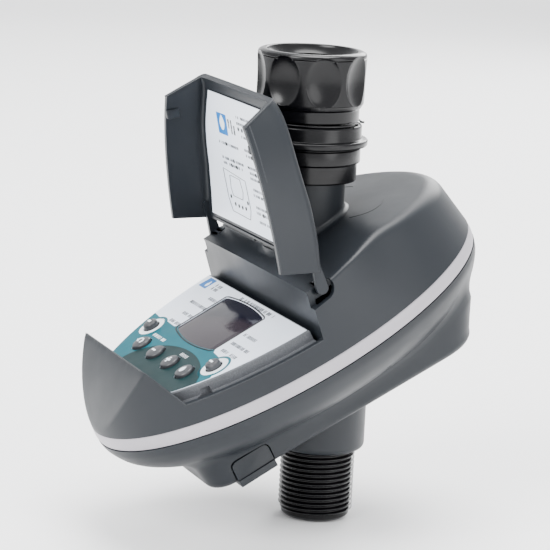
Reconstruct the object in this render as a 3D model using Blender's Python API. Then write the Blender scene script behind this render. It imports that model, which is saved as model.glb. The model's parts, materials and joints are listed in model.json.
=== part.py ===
"""Hose-end irrigation controller: a swivel tap connector, a tilted two-part case with a
hinged lid over its control panel, a solenoid valve inside and a threaded outlet below.

World frame: metres, +Z up along the inlet, origin at the middle of the swivel nut's mouth,
nose of the case towards -Y. The case is drawn in its own tilted frame (x, s, n): s runs along
the trim band towards the rear, n is square to the band.
"""
import math

import bmesh
import bpy
from mathutils import Matrix, Vector

MM = 0.001

# ---- driving dimensions, millimetres ------------------------------------------------------
TILT = math.radians(29.0)
BAND_Z = -91.5
CASE_A = 76.0
CASE_B = 51.1
CASE_MID = -8.0
WALL = 2.2
BAND_H = 5.2
LEDGE_N = 7.4
PANEL_N = 10.7
PANEL_INSET = 5.8
PANEL_REAR = -12.4
RIDGE_R = 3.6
LID_T = 1.7
LID_GAP = 0.5
HINGE_S = -3.0
HINGE_N = 22.6
LID_CLOSE = math.radians(107.2)
KEEL_N = -33.0
NECK_R = 13.7
OUTLET_Y = 10.12
BOSS_R = 16.3
BOSS_Z = -141.5
THREAD_R = 13.22
THREAD_PITCH = 1.814
THREAD_END = -166.5
NUT_R = 18.93
NUT_H = 20.0
VALVE_Z = -93.0
BUTTON_R = 3.5
SEG = 32
NECK_SEG = 30

TOP_LINE = [(-84.0, 2.0), (-81.0, 6.6), (-78.0, 10.4), (-73.5, 15.4), (-69.0, 19.7),
            (-65.6, 22.4), (-62.0, 23.3), (-57.0, 23.7), (-47.0, 23.65), (-38.0, 24.0),
            (-29.0, 24.5), (-20.0, 24.4), (-10.0, 23.8), (0.0, 24.6), (10.0, 26.0), (23.0, 26.6),
            (35.0, 25.0), (50.0, 22.2), (62.0, 19.8), (72.0, 18.2)]
LEAN_LINE = [(-84.0, 0.09), (-40.0, 0.09), (-10.0, 0.05), (8.0, 0.10), (32.0, 0.24), (72.0, 0.20)]
BELLY_LINE = [(0.0, 0.0), (4.0, 1.1), (8.6, 4.1), (12.6, 8.6), (16.2, 14.8), (19.2, 26.0)]

# Fastener and button centres: (x, s), then the screw seat's n or the button's name and radius.
SCREWS = [(36.0, 8.0, -15.5), (-36.0, 8.0, -15.5), (17.0, 40.0, -18.0), (-17.0, 40.0, -18.0)]
BOARD_SCREWS = [(32.0, -22.0), (-32.0, -22.0)]
BUTTONS = [("button_mode", -30.2, -43.6, 2.7), ("button_manual", 30.2, -43.6, 2.7),
           ("button_back", -21.0, -51.5, BUTTON_R), ("button_minus", -7.2, -51.5, BUTTON_R),
           ("button_plus", 7.2, -51.5, BUTTON_R), ("button_next", 21.0, -51.5, BUTTON_R)]


# ---- helpers ------------------------------------------------------------------------------
def lerp_line(line, t):
    """Read a polyline of (t, value) pairs at t."""
    if t <= line[0][0]:
        return line[0][1]
    for (t0, v0), (t1, v1) in zip(line, line[1:]):
        if t <= t1:
            return v0 + (v1 - v0) * (t - t0) / (t1 - t0)
    return line[-1][1]


def tilt(x, s, n):
    """Case frame to world frame."""
    y = s * math.cos(TILT) - n * math.sin(TILT)
    z = BAND_Z + s * math.sin(TILT) + n * math.cos(TILT)
    return Vector((x, y, z))


def material(name, colour, rough, metal=0.0):
    """One Principled material."""
    mat = bpy.data.materials.new(name)
    mat.use_nodes = True
    shader = mat.node_tree.nodes["Principled BSDF"]
    shader.inputs["Base Color"].default_value = (*colour, 1.0)
    shader.inputs["Roughness"].default_value = rough
    shader.inputs["Metallic"].default_value = metal
    mat.diffuse_color = (*colour, 1.0)
    return mat


def finish(name, bm, mat, smooth_angle=35.0):
    """Turn a bmesh drawn in millimetres into a named object."""
    bmesh.ops.remove_doubles(bm, verts=bm.verts, dist=0.0005)
    bmesh.ops.scale(bm, vec=(MM, MM, MM), verts=bm.verts)
    bmesh.ops.recalc_face_normals(bm, faces=bm.faces)
    mesh = bpy.data.meshes.new(name)
    bm.to_mesh(mesh)
    bm.free()
    obj = bpy.data.objects.new(name, mesh)
    bpy.context.collection.objects.link(obj)
    if mat is not None:
        mesh.materials.append(mat)
    shade(obj, smooth_angle)
    return obj


def set_origin(obj, point):
    """Put an object's origin on its joint axis without moving the piece."""
    obj.data.transform(Matrix.Translation(-point * MM))
    obj.location = point * MM
    return obj


def shade(obj, angle):
    """Smooth shading with sharp edges above the given angle."""
    mesh = obj.data
    mesh.polygons.foreach_set("use_smooth", [True] * len(mesh.polygons))
    mesh.set_sharp_from_angle(angle=math.radians(angle))


def skin(bm, loops, closed=False, caps=True):
    """Bridge equal loops of points into a tube, with end caps or joined end to end."""
    rings = [[bm.verts.new(p) for p in loop] for loop in loops]
    count = len(rings[0])
    pairs = list(zip(rings, rings[1:]))
    if closed:
        pairs.append((rings[-1], rings[0]))
    for low, high in pairs:
        for i in range(count):
            j = (i + 1) % count
            bm.faces.new((low[i], low[j], high[j], high[i]))
    if caps and not closed:
        bm.faces.new(list(reversed(rings[0])))
        bm.faces.new(rings[-1])
    return rings


def fan(bm, ring, centre):
    """Close a ring with triangles to one centre point."""
    hub = bm.verts.new(centre)
    for i, vert in enumerate(ring):
        bm.faces.new((vert, ring[(i + 1) % len(ring)], hub))


def turned(name, profile, mat, axis=Vector((0, 0, 1)), origin=Vector((0, 0, 0)), seg=32):
    """Turn a closed (radius, height) outline about an axis through origin."""
    bm = bmesh.new()
    turn = Vector((0, 0, 1)).rotation_difference(axis).to_matrix()
    rings = []
    for r, h in profile:
        if r < 1e-6:
            rings.append([bm.verts.new(turn @ Vector((0, 0, h)) + origin)])
            continue
        ring = []
        for i in range(seg):
            a = 2 * math.pi * i / seg
            ring.append(bm.verts.new(turn @ Vector((r * math.cos(a), r * math.sin(a), h)) + origin))
        rings.append(ring)
    for low, high in zip(rings, rings[1:] + rings[:1]):
        for i in range(seg):
            j = (i + 1) % seg
            quad = [low[i % len(low)], low[j % len(low)], high[j % len(high)], high[i % len(high)]]
            face = list(dict.fromkeys(quad))
            if len(face) > 2:
                bm.faces.new(face)
    return finish(name, bm, mat)


def rod(r, h0, h1, origin=Vector((0, 0, 0)), axis=Vector((0, 0, 1)), seg=28, name="tool"):
    """A plain cylinder between two heights."""
    return turned(name, [(0, h0), (r, h0), (r, h1), (0, h1)], None, axis, origin, seg)


def prism(outline, x0, x1, name="tool", mat=None):
    """Push an (s, n) outline across the case from x0 to x1."""
    bm = bmesh.new()
    skin(bm, [[tilt(x0, s, n) for s, n in outline], [tilt(x1, s, n) for s, n in outline]])
    return finish(name, bm, mat)


def plate(outline, n0, n1, name="tool", mat=None):
    """Push an (x, s) outline square to the band from n0 to n1."""
    bm = bmesh.new()
    skin(bm, [[tilt(x, s, n0) for x, s in outline], [tilt(x, s, n1) for x, s in outline]])
    return finish(name, bm, mat)


def combine(obj, steps, angle=35.0):
    """Apply exact Booleans in order, then drop the tools."""
    for kind, tool in steps:
        tool.hide_render = True
        tool.display_type = "WIRE"
        mod = obj.modifiers.new(kind.lower(), "BOOLEAN")
        mod.operation = kind
        mod.solver = "EXACT"
        mod.object = tool
        deps = bpy.context.evaluated_depsgraph_get()
        mesh = bpy.data.meshes.new_from_object(obj.evaluated_get(deps))
        old = obj.data
        obj.modifiers.clear()
        obj.data = mesh
        mesh.name = obj.name
        bpy.data.meshes.remove(old)
        bpy.data.objects.remove(tool)
    bm = bmesh.new()
    bm.from_mesh(obj.data)
    bmesh.ops.remove_doubles(bm, verts=bm.verts, dist=1.0e-6)
    bmesh.ops.dissolve_degenerate(bm, edges=bm.edges, dist=1.0e-6)
    bm.to_mesh(obj.data)
    bm.free()
    while len(obj.data.materials) > 1:
        obj.data.materials.pop(index=len(obj.data.materials) - 1)
    obj.data.polygons.foreach_set("material_index", [0] * len(obj.data.polygons))
    shade(obj, angle)
    return obj


def circle(cx, cs, r, seg=24):
    """Circle outline in the (x, s) plane."""
    return [(cx + r * math.cos(2 * math.pi * i / seg), cs + r * math.sin(2 * math.pi * i / seg))
            for i in range(seg)]


def rounded_rect(cx, cs, w, h, r, seg=5):
    """Rounded rectangle outline in the (x, s) plane."""
    pts = []
    for qx, qs, a0 in ((1, 1, 0), (-1, 1, 90), (-1, -1, 180), (1, -1, 270)):
        for k in range(seg + 1):
            a = math.radians(a0 + 90.0 * k / seg)
            x = cx + qx * (w / 2 - r) + r * math.cos(a)
            pts.append((x, cs + qs * (h / 2 - r) + r * math.sin(a)))
    return pts


# ---- case surfaces ------------------------------------------------------------------------
def top_n(s, x=0.0):
    """Height of the case's upper surface."""
    crown = 0.4 if s < -10.0 else min(1.2, 0.4 + 0.04 * (s + 10.0))
    return lerp_line(TOP_LINE, s) - crown * (x / 50.0) ** 2


def lean(s):
    """How far the upper wall leans in, per millimetre of height."""
    return lerp_line(LEAN_LINE, s)


def half_width(s, inset):
    """Half width of the band outline, drawn in by inset."""
    u = (s - CASE_MID) / (CASE_A - inset)
    return (CASE_B - inset) * math.sqrt(max(0.0, 1.0 - u * u))


def rim(theta, inset):
    """Point of the drawn-in band outline; theta 0 is the nose."""
    return (CASE_B - inset) * math.sin(theta), CASE_MID - (CASE_A - inset) * math.cos(theta)


def angles(count=SEG):
    """Angles spread evenly round the outline."""
    return [2 * math.pi * i / count for i in range(count)]


def upper_skin(bm, t):
    """Rings of the upper surface, t millimetres inside the outer one, and its middle fan."""
    rings = [[] for _ in range(11)]
    for theta in angles():
        x0, s0 = rim(theta, t)
        slope = (top_n(s0 + 1.0) - top_n(s0 - 1.0)) / 2.0
        drop = t * math.sqrt(1.0 + slope * slope)
        height = max(top_n(s0, x0) - drop, 0.8)
        radius = min(RIDGE_R, 0.4 * height)
        reach = math.hypot(x0, s0 - CASE_MID)
        wall_top = height - radius
        steps = [(0.0, 0.0), (lean(s0) * wall_top * 0.5, wall_top * 0.5), (lean(s0) * wall_top, wall_top)]
        for deg in (30.0, 60.0, 90.0):
            a = math.radians(deg)
            inset = lean(s0) * wall_top + radius * (1.0 - math.cos(a))
            steps.append((inset, wall_top + radius * math.sin(a)))
        edge = steps[-1][0] / reach
        column = []
        for inset, n in steps:
            f = 1.0 - inset / reach
            column.append((x0 * f, CASE_MID + (s0 - CASE_MID) * f, n))
        last_n = column[-1][2]
        last = top_n(column[-1][1], column[-1][0]) - drop
        for k, f in enumerate((0.08, 0.18, 0.31, 0.47, 0.68)):
            g = 1.0 - (edge + (1.0 - edge) * f)
            x, s = x0 * g, CASE_MID + (s0 - CASE_MID) * g
            slope = (top_n(s + 1.0) - top_n(s - 1.0)) / 2.0
            n = max(top_n(s, x) - t * math.sqrt(1.0 + slope * slope), 0.8)
            ease = max(0.0, 1.0 - f / 0.25)
            column.append((x, s, n + (last_n - last) * ease if last > 0.8 else max(n, last_n)))
        for ring, point in zip(rings, column):
            ring.append(tilt(*point))
    made = skin(bm, rings, caps=False)
    fan(bm, made[-1], tilt(0.0, CASE_MID, top_n(CASE_MID) - t))
    return made


def hollow(name, mat, maker, thickness):
    """Outer and inner skins joined at the rim: one open shell."""
    bm = bmesh.new()
    outer = maker(bm, 0.0)
    inner = maker(bm, thickness)
    count = len(outer[0])
    for i in range(count):
        j = (i + 1) % count
        bm.faces.new((outer[0][i], outer[0][j], inner[0][j], inner[0][i]))
    return finish(name, bm, mat)


def ring_plate(name, mat, outer, inner, n0, n1):
    """A flat ring following the band outline."""
    bm = bmesh.new()
    loops = []
    for inset, n in ((outer, n0), (outer, n1), (inner, n1), (inner, n0)):
        loops.append([tilt(*rim(a, inset), n) for a in angles()])
    skin(bm, loops, closed=True)
    return finish(name, bm, mat)


def neck_solid():
    """Upright neck with a flare that runs out on the sloping top."""
    bm = bmesh.new()
    base = []
    for k in range(5):
        out = 1.0 - k / 4.0
        base.append((out, 1.0 - math.sqrt(max(0.0, 1.0 - (1.0 - out) ** 2))))
    loops = []
    turn = [2 * math.pi * i / NECK_SEG for i in range(NECK_SEG)]
    for out, rise in [(1.0, -0.8)] + base:
        loop = []
        for a in turn:
            reach = 2.4 + 2.8 * max(0.0, -math.sin(a)) * abs(math.cos(a)) - 1.6 * max(0.0, -math.sin(a)) ** 6
            x, y = (NECK_R + reach * out) * math.cos(a), (NECK_R + reach * out) * math.sin(a)
            loop.append(Vector((x, y, surface_z(x, y) + reach * rise - 0.15)))
        loops.append(loop)
    loops.append([Vector((NECK_R * math.cos(a), NECK_R * math.sin(a), -40.5)) for a in turn])
    skin(bm, loops)
    return finish("tool", bm, None)


def neck_flat():
    """Flat in front of the neck that the open lid leans past."""
    bm = bmesh.new()
    bmesh.ops.create_cube(bm, size=1.0)
    bm.transform(Matrix.Translation((0.0, -17.85, -61.0)) @ Matrix.Diagonal((30.0, 10.0, 16.6, 1.0)))
    return finish("tool", bm, None)


def surface_z(x, y):
    """World height of the case's top at a world (x, y)."""
    z = -60.0
    for _ in range(12):
        s = y * math.cos(TILT) + (z - BAND_Z) * math.sin(TILT)
        z = BAND_Z + (top_n(s, x) + y * math.sin(TILT)) / math.cos(TILT)
    return z


def dee(inset, rear, count=20):
    """Panel outline in (x, s): the band outline drawn in, cut straight at both ends."""
    start = math.acos(max(-1.0, min(1.0, (CASE_MID - rear) / (CASE_A - inset))))
    front = -68.0 - 0.9 * (PANEL_INSET - inset)
    points = [rim(-start + 2 * start * k / (count - 1), inset) for k in range(count)]
    return [(x, max(s, front)) for x, s in points]


# ---- sub-assemblies -----------------------------------------------------------------------
def build_inlet(m):
    """Swivel nut, washer, strainer, adapter and its rings."""
    crest, root = 13.25, 14.4
    inside = []
    z = -11.0
    while z < -3.2:
        inside += [(crest, z), (root, z + THREAD_PITCH / 2)]
        z += THREAD_PITCH
    profile = [(15.6, 0.0), (17.6, 0.0), (18.6, -0.5), (NUT_R, -1.6), (NUT_R - 0.33, -17.6),
               (17.9, -NUT_H), (17.2, -NUT_H - 0.8), (17.2, -23.8), (11.0, -23.8), (11.0, -20.4),
               (crest, -20.4)] + inside + [(crest, -3.0), (15.4, -1.0)]
    nut = turned("swivel_nut", profile, m["black"], seg=28)
    tools = []
    for k in range(8):
        a = math.radians(45.0 * k + 35.3)
        bm = bmesh.new()
        bmesh.ops.create_uvsphere(bm, u_segments=10, v_segments=7, radius=1.0)
        place = (Matrix.Translation((19.9 * math.cos(a), 19.9 * math.sin(a), -9.6))
                 @ Matrix.Rotation(a, 4, "Z") @ Matrix.Diagonal((3.3, 7.7, 9.2, 1.0)))
        bm.transform(place)
        tools.append(("DIFFERENCE", finish("tool", bm, None)))
    combine(nut, tools, 30.0)
    turned("hose_washer", [(8.4, -15.6), (12.6, -15.6), (12.6, -13.2), (8.4, -13.2)], m["rubber"])
    turned("filter_screen", [(7.4, -15.4), (8.0, -15.4), (7.0, -30.0), (0, -30.0), (0, -29.4),
                             (6.5, -29.4)], m["mesh"], seg=20)
    turned("inlet_adapter", [(8.3, -16.0), (12.4, -16.0), (12.4, -19.8), (10.4, -19.8), (10.4, -25.0),
                             (18.0, -25.1), (18.5, -25.7), (18.5, -29.9), (20.7, -30.1), (20.7, -32.5),
                             (17.6, -32.7), (17.6, -33.2), (18.4, -33.4), (18.4, -38.2), (17.36, -38.5),
                             (17.36, -44.8), (14.2, -44.8), (14.2, -40.1), (11.8, -40.1), (11.8, -35.0),
                             (8.3, -35.0)], m["black"], seg=28)
    turned("snap_ring", [(17.5, -24.8), (18.4, -24.8), (18.4, -24.0), (17.5, -24.0)], m["steel"], seg=32)
    ring = [(10.3, -38.3), (11.5, -38.3), (11.5, -37.0), (10.3, -37.0)]
    turned("inlet_o_ring", ring, m["rubber"], seg=28)


def build_case(m):
    """Upper shell, band, seal and lower shell."""
    shell = hollow("upper_shell", m["grey"], upper_skin, WALL)
    steps = [("UNION", neck_solid())]
    steps.append(("DIFFERENCE", rod(11.7, -80.0, -39.0, seg=30)))
    wall = prism([(-10.9, 4.2), (-10.9, 7.5), (-13.0, 7.5), (-13.0, 23.0), (-6.3, 23.2), (-6.3, 20.5),
                  (-9.7, 4.2)], -48.9, 48.9)
    steps.append(("UNION", wall))
    steps.append(("DIFFERENCE", neck_flat()))
    lug_axis = Vector((1, 0, 0))
    pivot = tilt(0.0, HINGE_S, HINGE_N)
    for side in (-1, 1):
        lo, hi = (43.0, 46.4) if side > 0 else (-46.4, -43.0)
        lug = [(-7.4, 23.4), (-7.4, 19.6), (-2.0, 19.6), (-0.2, 21.4), (-0.2, 24.2)]
        steps.append(("UNION", prism(lug, lo, hi)))
    opening = [(-10.9, LEDGE_N), (-59.4, LEDGE_N), (-66.0, 22.6), (-71.8, 36.0), (-8.3, 36.0), (-8.3, 22.0)]
    steps.append(("DIFFERENCE", prism(opening, -60.0, 60.0)))
    for side in (-1, 1):
        lo, hi = (46.7, 56.0) if side > 0 else (-56.0, -46.7)
        steps.append(("DIFFERENCE", rod(4.0, lo, hi, pivot, lug_axis, seg=20)))
        front = [(-3.0, 18.6), (-12.0, 17.6), (-12.0, 31.0), (-3.0, 31.0)]
        steps.append(("DIFFERENCE", prism(front, lo, hi)))
        lo, hi = (42.0, 47.5) if side > 0 else (-47.5, -42.0)
        steps.append(("DIFFERENCE", rod(1.35, lo, hi, pivot, lug_axis, seg=14)))
    for x, s, _ in SCREWS:
        lift = top_n(s, x) - 1.0
        steps.append(("UNION", plate(circle(x, s, 3.4, 14), 1.6, lift)))
        steps.append(("DIFFERENCE", plate(circle(x, s, 1.5, 12), -2.0, 12.0)))
    combine(shell, steps)

    bm = bmesh.new()
    loops = []
    for inset, n in ((0.3, -0.15), (-0.25, -1.0), (-0.45, -2.6), (-0.25, -4.2), (0.3, -5.05), (1.9, -5.05),
                     (1.9, -0.15)):
        loops.append([tilt(*rim(a, inset), n) for a in angles(SEG)])
    skin(bm, loops, closed=True)
    finish("trim_band", bm, m["pale"])
    ring_plate("case_seal", m["rubber"], 2.5, 3.7, -0.15, 1.0)

    lower = bowl_solid("lower_shell", m["grey"], 0.0)
    steps = [("UNION", keel_solid(0.0))]
    steps.append(("UNION", turned("tool", [(0, -100.0), (BOSS_R, -100.0), (BOSS_R, BOSS_Z + 3.0),
                                           (BOSS_R - 0.9, BOSS_Z + 0.9), (BOSS_R - 3.0, BOSS_Z), (0, BOSS_Z)],
                                  None, origin=Vector((0, OUTLET_Y, 0)), seg=36)))
    steps.append(("DIFFERENCE", bowl_solid("tool", None, WALL)))
    steps.append(("DIFFERENCE", keel_solid(WALL)))
    steps.append(("DIFFERENCE", rod(11.7, -150.0, -90.0, Vector((0, OUTLET_Y, 0)), seg=32)))
    steps.append(("DIFFERENCE", plate(door_outline(0.35), -40.0, -28.5)))
    for side in (-1, 1):
        lo, hi = (21.0, 40.0) if side > 0 else (-40.0, -21.0)
        latch = [(-53.2, -34.5), (-53.2, -25.6), (-51.8, -24.2), (-39.2, -24.2), (-37.8, -25.6), (-37.8, -34.5)]
        steps.append(("DIFFERENCE", prism(latch, lo, hi)))
    steps.append(("UNION", ring_plate("tool", None, 2.06, 4.0, -7.6, -0.5)))
    for x, s, seat in SCREWS:
        foot = KEEL_N + 1.0 if s > 20.0 else seat - 3.0
        steps.append(("UNION", plate(circle(x, s, 4.6, 12), foot, -0.6)))
        steps.append(("DIFFERENCE", plate(circle(x, s, 3.1, 14), -40.0, seat)))
        steps.append(("DIFFERENCE", plate(circle(x, s, 1.7, 12), seat - 1.0, 2.0)))
    combine(lower, steps)
    for k, (x, s, seat) in enumerate(SCREWS):
        mid = tilt(x, s, 0.0)
        up = tilt(0, 0, 1.0) - tilt(0, 0, 0.0)
        shape = [(0, seat - 2.2), (2.4, seat - 2.2), (2.7, seat - 1.8), (2.7, seat - 0.3),
                 (1.25, seat - 0.3), (1.25, 9.0), (0.4, 10.2), (0, 10.2)]
        turned("case_screw_%d" % (k + 1), shape, m["steel"], up, mid, 10)


def keel_outline(n, t):
    """Keel outline in (x, s) at height n; the rear wall is upright in the world."""
    drop = n - KEEL_N
    rear = 47.7 + drop * math.tan(TILT) - t
    round_in = 0.0 if drop > 3.0 else 3.0 - math.sqrt(max(0.0, 9.0 - (3.0 - drop) ** 2))
    flare = max(0.0, drop - 5.0) * 0.10
    front = -61.5 - flare + t + round_in
    rear -= round_in
    half_rear = 31.8 + flare - t - round_in
    half_front = 25.2 + flare - t - round_in
    pts = []
    wide = 14.0 - t
    radius = 9.0 - t
    for k in range(5):
        a = math.radians(90.0 * k / 4)
        pts.append((half_rear - wide + wide * math.cos(a), rear - wide + wide * math.sin(a)))
    for k in range(5):
        a = math.radians(90.0 + 90.0 * k / 4)
        pts.append((-half_rear + wide + wide * math.cos(a), rear - wide + wide * math.sin(a)))
    pts.append((-(half_rear * 0.45 + (half_front + 3.0) * 0.55), -30.0))
    for k in range(5):
        a = math.radians(180.0 + 90.0 * k / 4)
        pts.append((-half_front + radius + radius * math.cos(a), front + radius + radius * math.sin(a)))
    for k in range(5):
        a = math.radians(270.0 + 90.0 * k / 4)
        pts.append((half_front - radius + radius * math.cos(a), front + radius + radius * math.sin(a)))
    pts.append((half_rear * 0.45 + (half_front + 3.0) * 0.55, -30.0))
    return pts


def keel_solid(t):
    """Solid of the keel, t millimetres inside its outer skin."""
    bm = bmesh.new()
    floor = KEEL_N + t
    levels = [0.0, 1.2, 3.0, 8.0, 21.0] if t == 0.0 else [0.0, 2.0, 8.0, 20.0]
    loops = []
    for rise in levels:
        outline = keel_outline(KEEL_N + rise, t)
        loops.append([tilt(x, s, floor + rise) for x, s in outline])
    skin(bm, loops)
    return finish("tool", bm, None)


def bowl_solid(name, mat, t):
    """The lower bowl as a solid, t millimetres inside its outer skin."""
    bm = bmesh.new()
    scale = 1.0 - t / 19.2
    start = -BAND_H - 0.15
    rings = [[tilt(*rim(a, t), start + 6.0) for a in angles()]] if t > 0.0 else []
    for depth, inset in BELLY_LINE:
        rings.append([tilt(*rim(a, inset + t), start - depth * scale) for a in angles()])
    made = skin(bm, rings, caps=False)
    fan(bm, made[-1], tilt(0.0, CASE_MID, start - 20.2 * scale))
    bm.faces.new(list(reversed(made[0])))
    return finish(name, bm, mat)


def door_outline(grow):
    """Battery door outline in (x, s)."""
    front, rear = -57.6 - grow, -30.5 + grow
    return [(23.0 + grow, rear), (-23.0 - grow, rear), (-22.6 - grow, -50.0), (-16.0, front), (16.0, front),
            (22.6 + grow, -50.0)]


def build_panel(m):
    """Control panel, label, window, display, board, keypad and buttons."""
    front = dee(PANEL_INSET, PANEL_REAR)
    bm = bmesh.new()
    loops = []
    for inset, rear, n in ((8.5, PANEL_REAR - 2.5, PANEL_N), (PANEL_INSET, PANEL_REAR, PANEL_N),
                           (PANEL_INSET, PANEL_REAR, 5.4), (3.4, PANEL_REAR + 0.4, 5.4),
                           (3.4, PANEL_REAR + 0.4, 4.2), (7.2, PANEL_REAR - 1.4, 4.2),
                           (7.2, PANEL_REAR - 1.4, PANEL_N - 1.6)):
        loops.append([tilt(x, s, n) for x, s in dee(inset, rear)])
    skin(bm, loops)
    panel = finish("control_panel", bm, m["dark"])
    steps = [("DIFFERENCE", plate(window_outline(0.3), 5.0, 14.0))]
    for _, x, s, r in BUTTONS:
        steps.append(("DIFFERENCE", plate(circle(x, s, r + 0.35, 14), 5.0, 14.0)))
    for side in (-1, 1):
        slot = rounded_rect(side * 39.0, -52.0, 8.0, 4.0, 0.6, 2)
        steps.append(("DIFFERENCE", plate(slot, 3.0, 6.4)))
    combine(panel, steps)

    outline = dee(PANEL_INSET + 0.8, PANEL_REAR - 0.6)
    label = plate(outline, PANEL_N + 0.03, PANEL_N + 0.25, "panel_label", m["label"])
    steps = [("DIFFERENCE", plate(window_outline(-0.6), 5.0, 14.0))]
    for _, x, s, r in BUTTONS:
        steps.append(("DIFFERENCE", plate(circle(x, s, r + 0.45, 14), 5.0, 14.0)))
    combine(label, steps)
    plate(window_outline(0.0), PANEL_N - 1.3, PANEL_N - 0.05, "display_window", m["glass"])
    plate(rounded_rect(0.0, -28.0, 40.0, 26.0, 0.8, 2), 4.4, 8.6, "display_module", m["module"])

    board = plate([(x, s) for x, s in dee(9.0, PANEL_REAR - 3.0, 18)], 0.9, 2.5, "circuit_board", m["board"])
    steps = []
    for x, s in BOARD_SCREWS:
        steps.append(("DIFFERENCE", plate(circle(x, s, 1.6, 12), 0.0, 4.0)))
    combine(board, steps)
    up = tilt(0, 0, 1.0) - tilt(0, 0, 0.0)
    for k, (x, s) in enumerate(BOARD_SCREWS):
        turned("board_screw_%d" % (k + 1), [(0, -0.8), (2.3, -0.8), (2.3, 0.6), (1.1, 0.6), (1.1, 5.6), (0, 5.6)],
               m["steel"], up, tilt(x, s, 0.0), 12)
    plate(rounded_rect(0.0, -51.5, 52.0, 12.0, 3.0, 3), 2.8, 4.6, "keypad_mat", m["rubber"])
    for name, x, s, r in BUTTONS:
        tall = 1.5 if r > 3.0 else 2.4
        top = PANEL_N + tall
        key = turned(name, [(0, 5.9), (r + 0.9, 5.9), (r + 0.9, 7.2), (r, 7.2), (r, top - 0.5),
                            (r - 0.5, top), (r * 0.45, top + 0.25), (0, top + 0.3)],
                     m["button"], up, tilt(x, s, 0.0), 12)
        set_origin(key, tilt(x, s, PANEL_N))


def window_outline(grow):
    """Display window: straight sides and bowed ends."""
    half, rear, front = 17.5 + grow, -17.1 + grow, -38.9 - grow
    pts = []
    for k in range(9):
        u = -1.0 + 2.0 * k / 8
        pts.append((-u * half, rear + 1.5 * (1.0 - u * u)))
    for k in range(9):
        u = -1.0 + 2.0 * k / 8
        pts.append((u * half, front - 2.2 * (1.0 - u * u)))
    return pts


def lid_section(u):
    """One cross-section of the closed lid: outer points then inner points, in (x, s, n)."""
    def run(n):
        rear = -11.5 + (n - 8.0) * 0.185
        free = -59.4 - (n - LEDGE_N) * 0.4375 + LID_GAP
        return rear + (free - rear) * u

    def wall(n, t):
        s = run(n)
        return half_width(s, lean(s) * n + t), s, n

    outer, inner = [], []
    s_top = run(25.0)
    crown = top_n(s_top, half_width(s_top, 3.0))
    for n in (LEDGE_N + 0.5, 12.0, 17.0, crown - 3.0):
        outer.append(wall(n, 0.0))
        inner.append(wall(min(n, crown - LID_T - 2.0), LID_T))
    for deg in (35.0, 65.0, 90.0):
        a = math.radians(deg)
        x = wall(crown - 3.0, 0.0)[0] - 3.0 * (1.0 - math.cos(a))
        n = crown - 3.0 + 3.0 * math.sin(a)
        outer.append((x, run(n), n))
        x = wall(crown - 3.0, LID_T)[0] - 1.6 * (1.0 - math.cos(a))
        n = crown - 3.0 + 1.3 * math.sin(a)
        inner.append((x, run(n), n))
    edge_o, edge_i = outer[-1], inner[-1]
    for f in (0.66, 0.33):
        for edge, side in ((edge_o, outer), (edge_i, inner)):
            x = edge[0] * f
            n = edge[2] + top_n(s_top, x) - crown
            side.append((x, run(n), n))
    outer_far = [(-x, s, n) for x, s, n in reversed(outer)]
    inner_far = [(-x, s, n) for x, s, n in reversed(inner)]
    return outer + outer_far + list(reversed(inner + inner_far))


def to_rest(obj):
    """Swing a part drawn with the lid shut to the open rest pose, origin on the hinge."""
    pivot = tilt(0.0, HINGE_S, HINGE_N) * MM
    obj.data.transform(Matrix.Rotation(-LID_CLOSE, 4, "X") @ Matrix.Translation(-pivot))
    obj.location = pivot
    return obj


def build_lid(m):
    """Lid with its two arms, its label and the hinge pins."""
    bm = bmesh.new()
    count = 9
    loops = [[tilt(*p) for p in lid_section(k / (count - 1))] for k in range(count)]
    skin(bm, loops)
    lid = finish("lid", bm, m["grey"])
    pivot = tilt(0.0, HINGE_S, HINGE_N)
    steps = []
    for side in (-1, 1):
        lo, hi = (47.17, 48.83) if side > 0 else (-48.83, -47.17)
        arm = []
        for k in range(9):
            a = math.radians(-90.0 + 180.0 * k / 8)
            arm.append((HINGE_S + 2.1 * math.cos(a), HINGE_N + 2.1 * math.sin(a)))
        arm += [(-9.6, 23.2), (-14.0, 22.2), (-15.6, 20.4), (-14.6, 19.4), (-9.0, 20.3)]
        steps.append(("UNION", prism(arm, lo, hi)))
        lo, hi = (46.0, 48.35) if side > 0 else (-48.35, -46.0)
        steps.append(("DIFFERENCE", rod(1.5, lo, hi, pivot, Vector((1, 0, 0)), seg=14)))
    lip = [(-12.6, 23.3), (-8.8, 23.1), (-8.3, 24.35), (-6.3, 24.4), (-6.3, 25.0), (-6.8, 25.2), (-9.4, 24.8),
           (-12.6, 23.5)]
    for lo, hi in ((-41.0, -13.5), (13.5, 41.0)):
        steps.append(("UNION", prism(lip, lo, hi)))
    combine(lid, steps)
    to_rest(lid)
    bm = bmesh.new()
    rows = []
    for k in range(7):
        u = 0.055 + 0.845 * k / 6
        section = lid_section(u)
        mid = section[len(section) * 3 // 4]
        s = mid[1]
        half = half_width(s, 6.5) - 1.5
        low = [(x, s, top_n(s, x) - LID_T - 0.60) for x in (-half, -half * 0.5, 0.0, half * 0.5, half)]
        high = [(x, s, n - 0.22) for x, s, n in reversed(low)]
        rows.append([tilt(*p) for p in low + high])
    skin(bm, rows)
    to_rest(finish("lid_label", bm, m["label"]))
    for name, lo, hi in (("hinge_pin_right", 43.4, 48.2), ("hinge_pin_left", -48.2, -43.4)):
        rod(1.1, lo, hi, pivot, Vector((1, 0, 0)), 14, name).data.materials.append(m["steel"])


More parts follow.
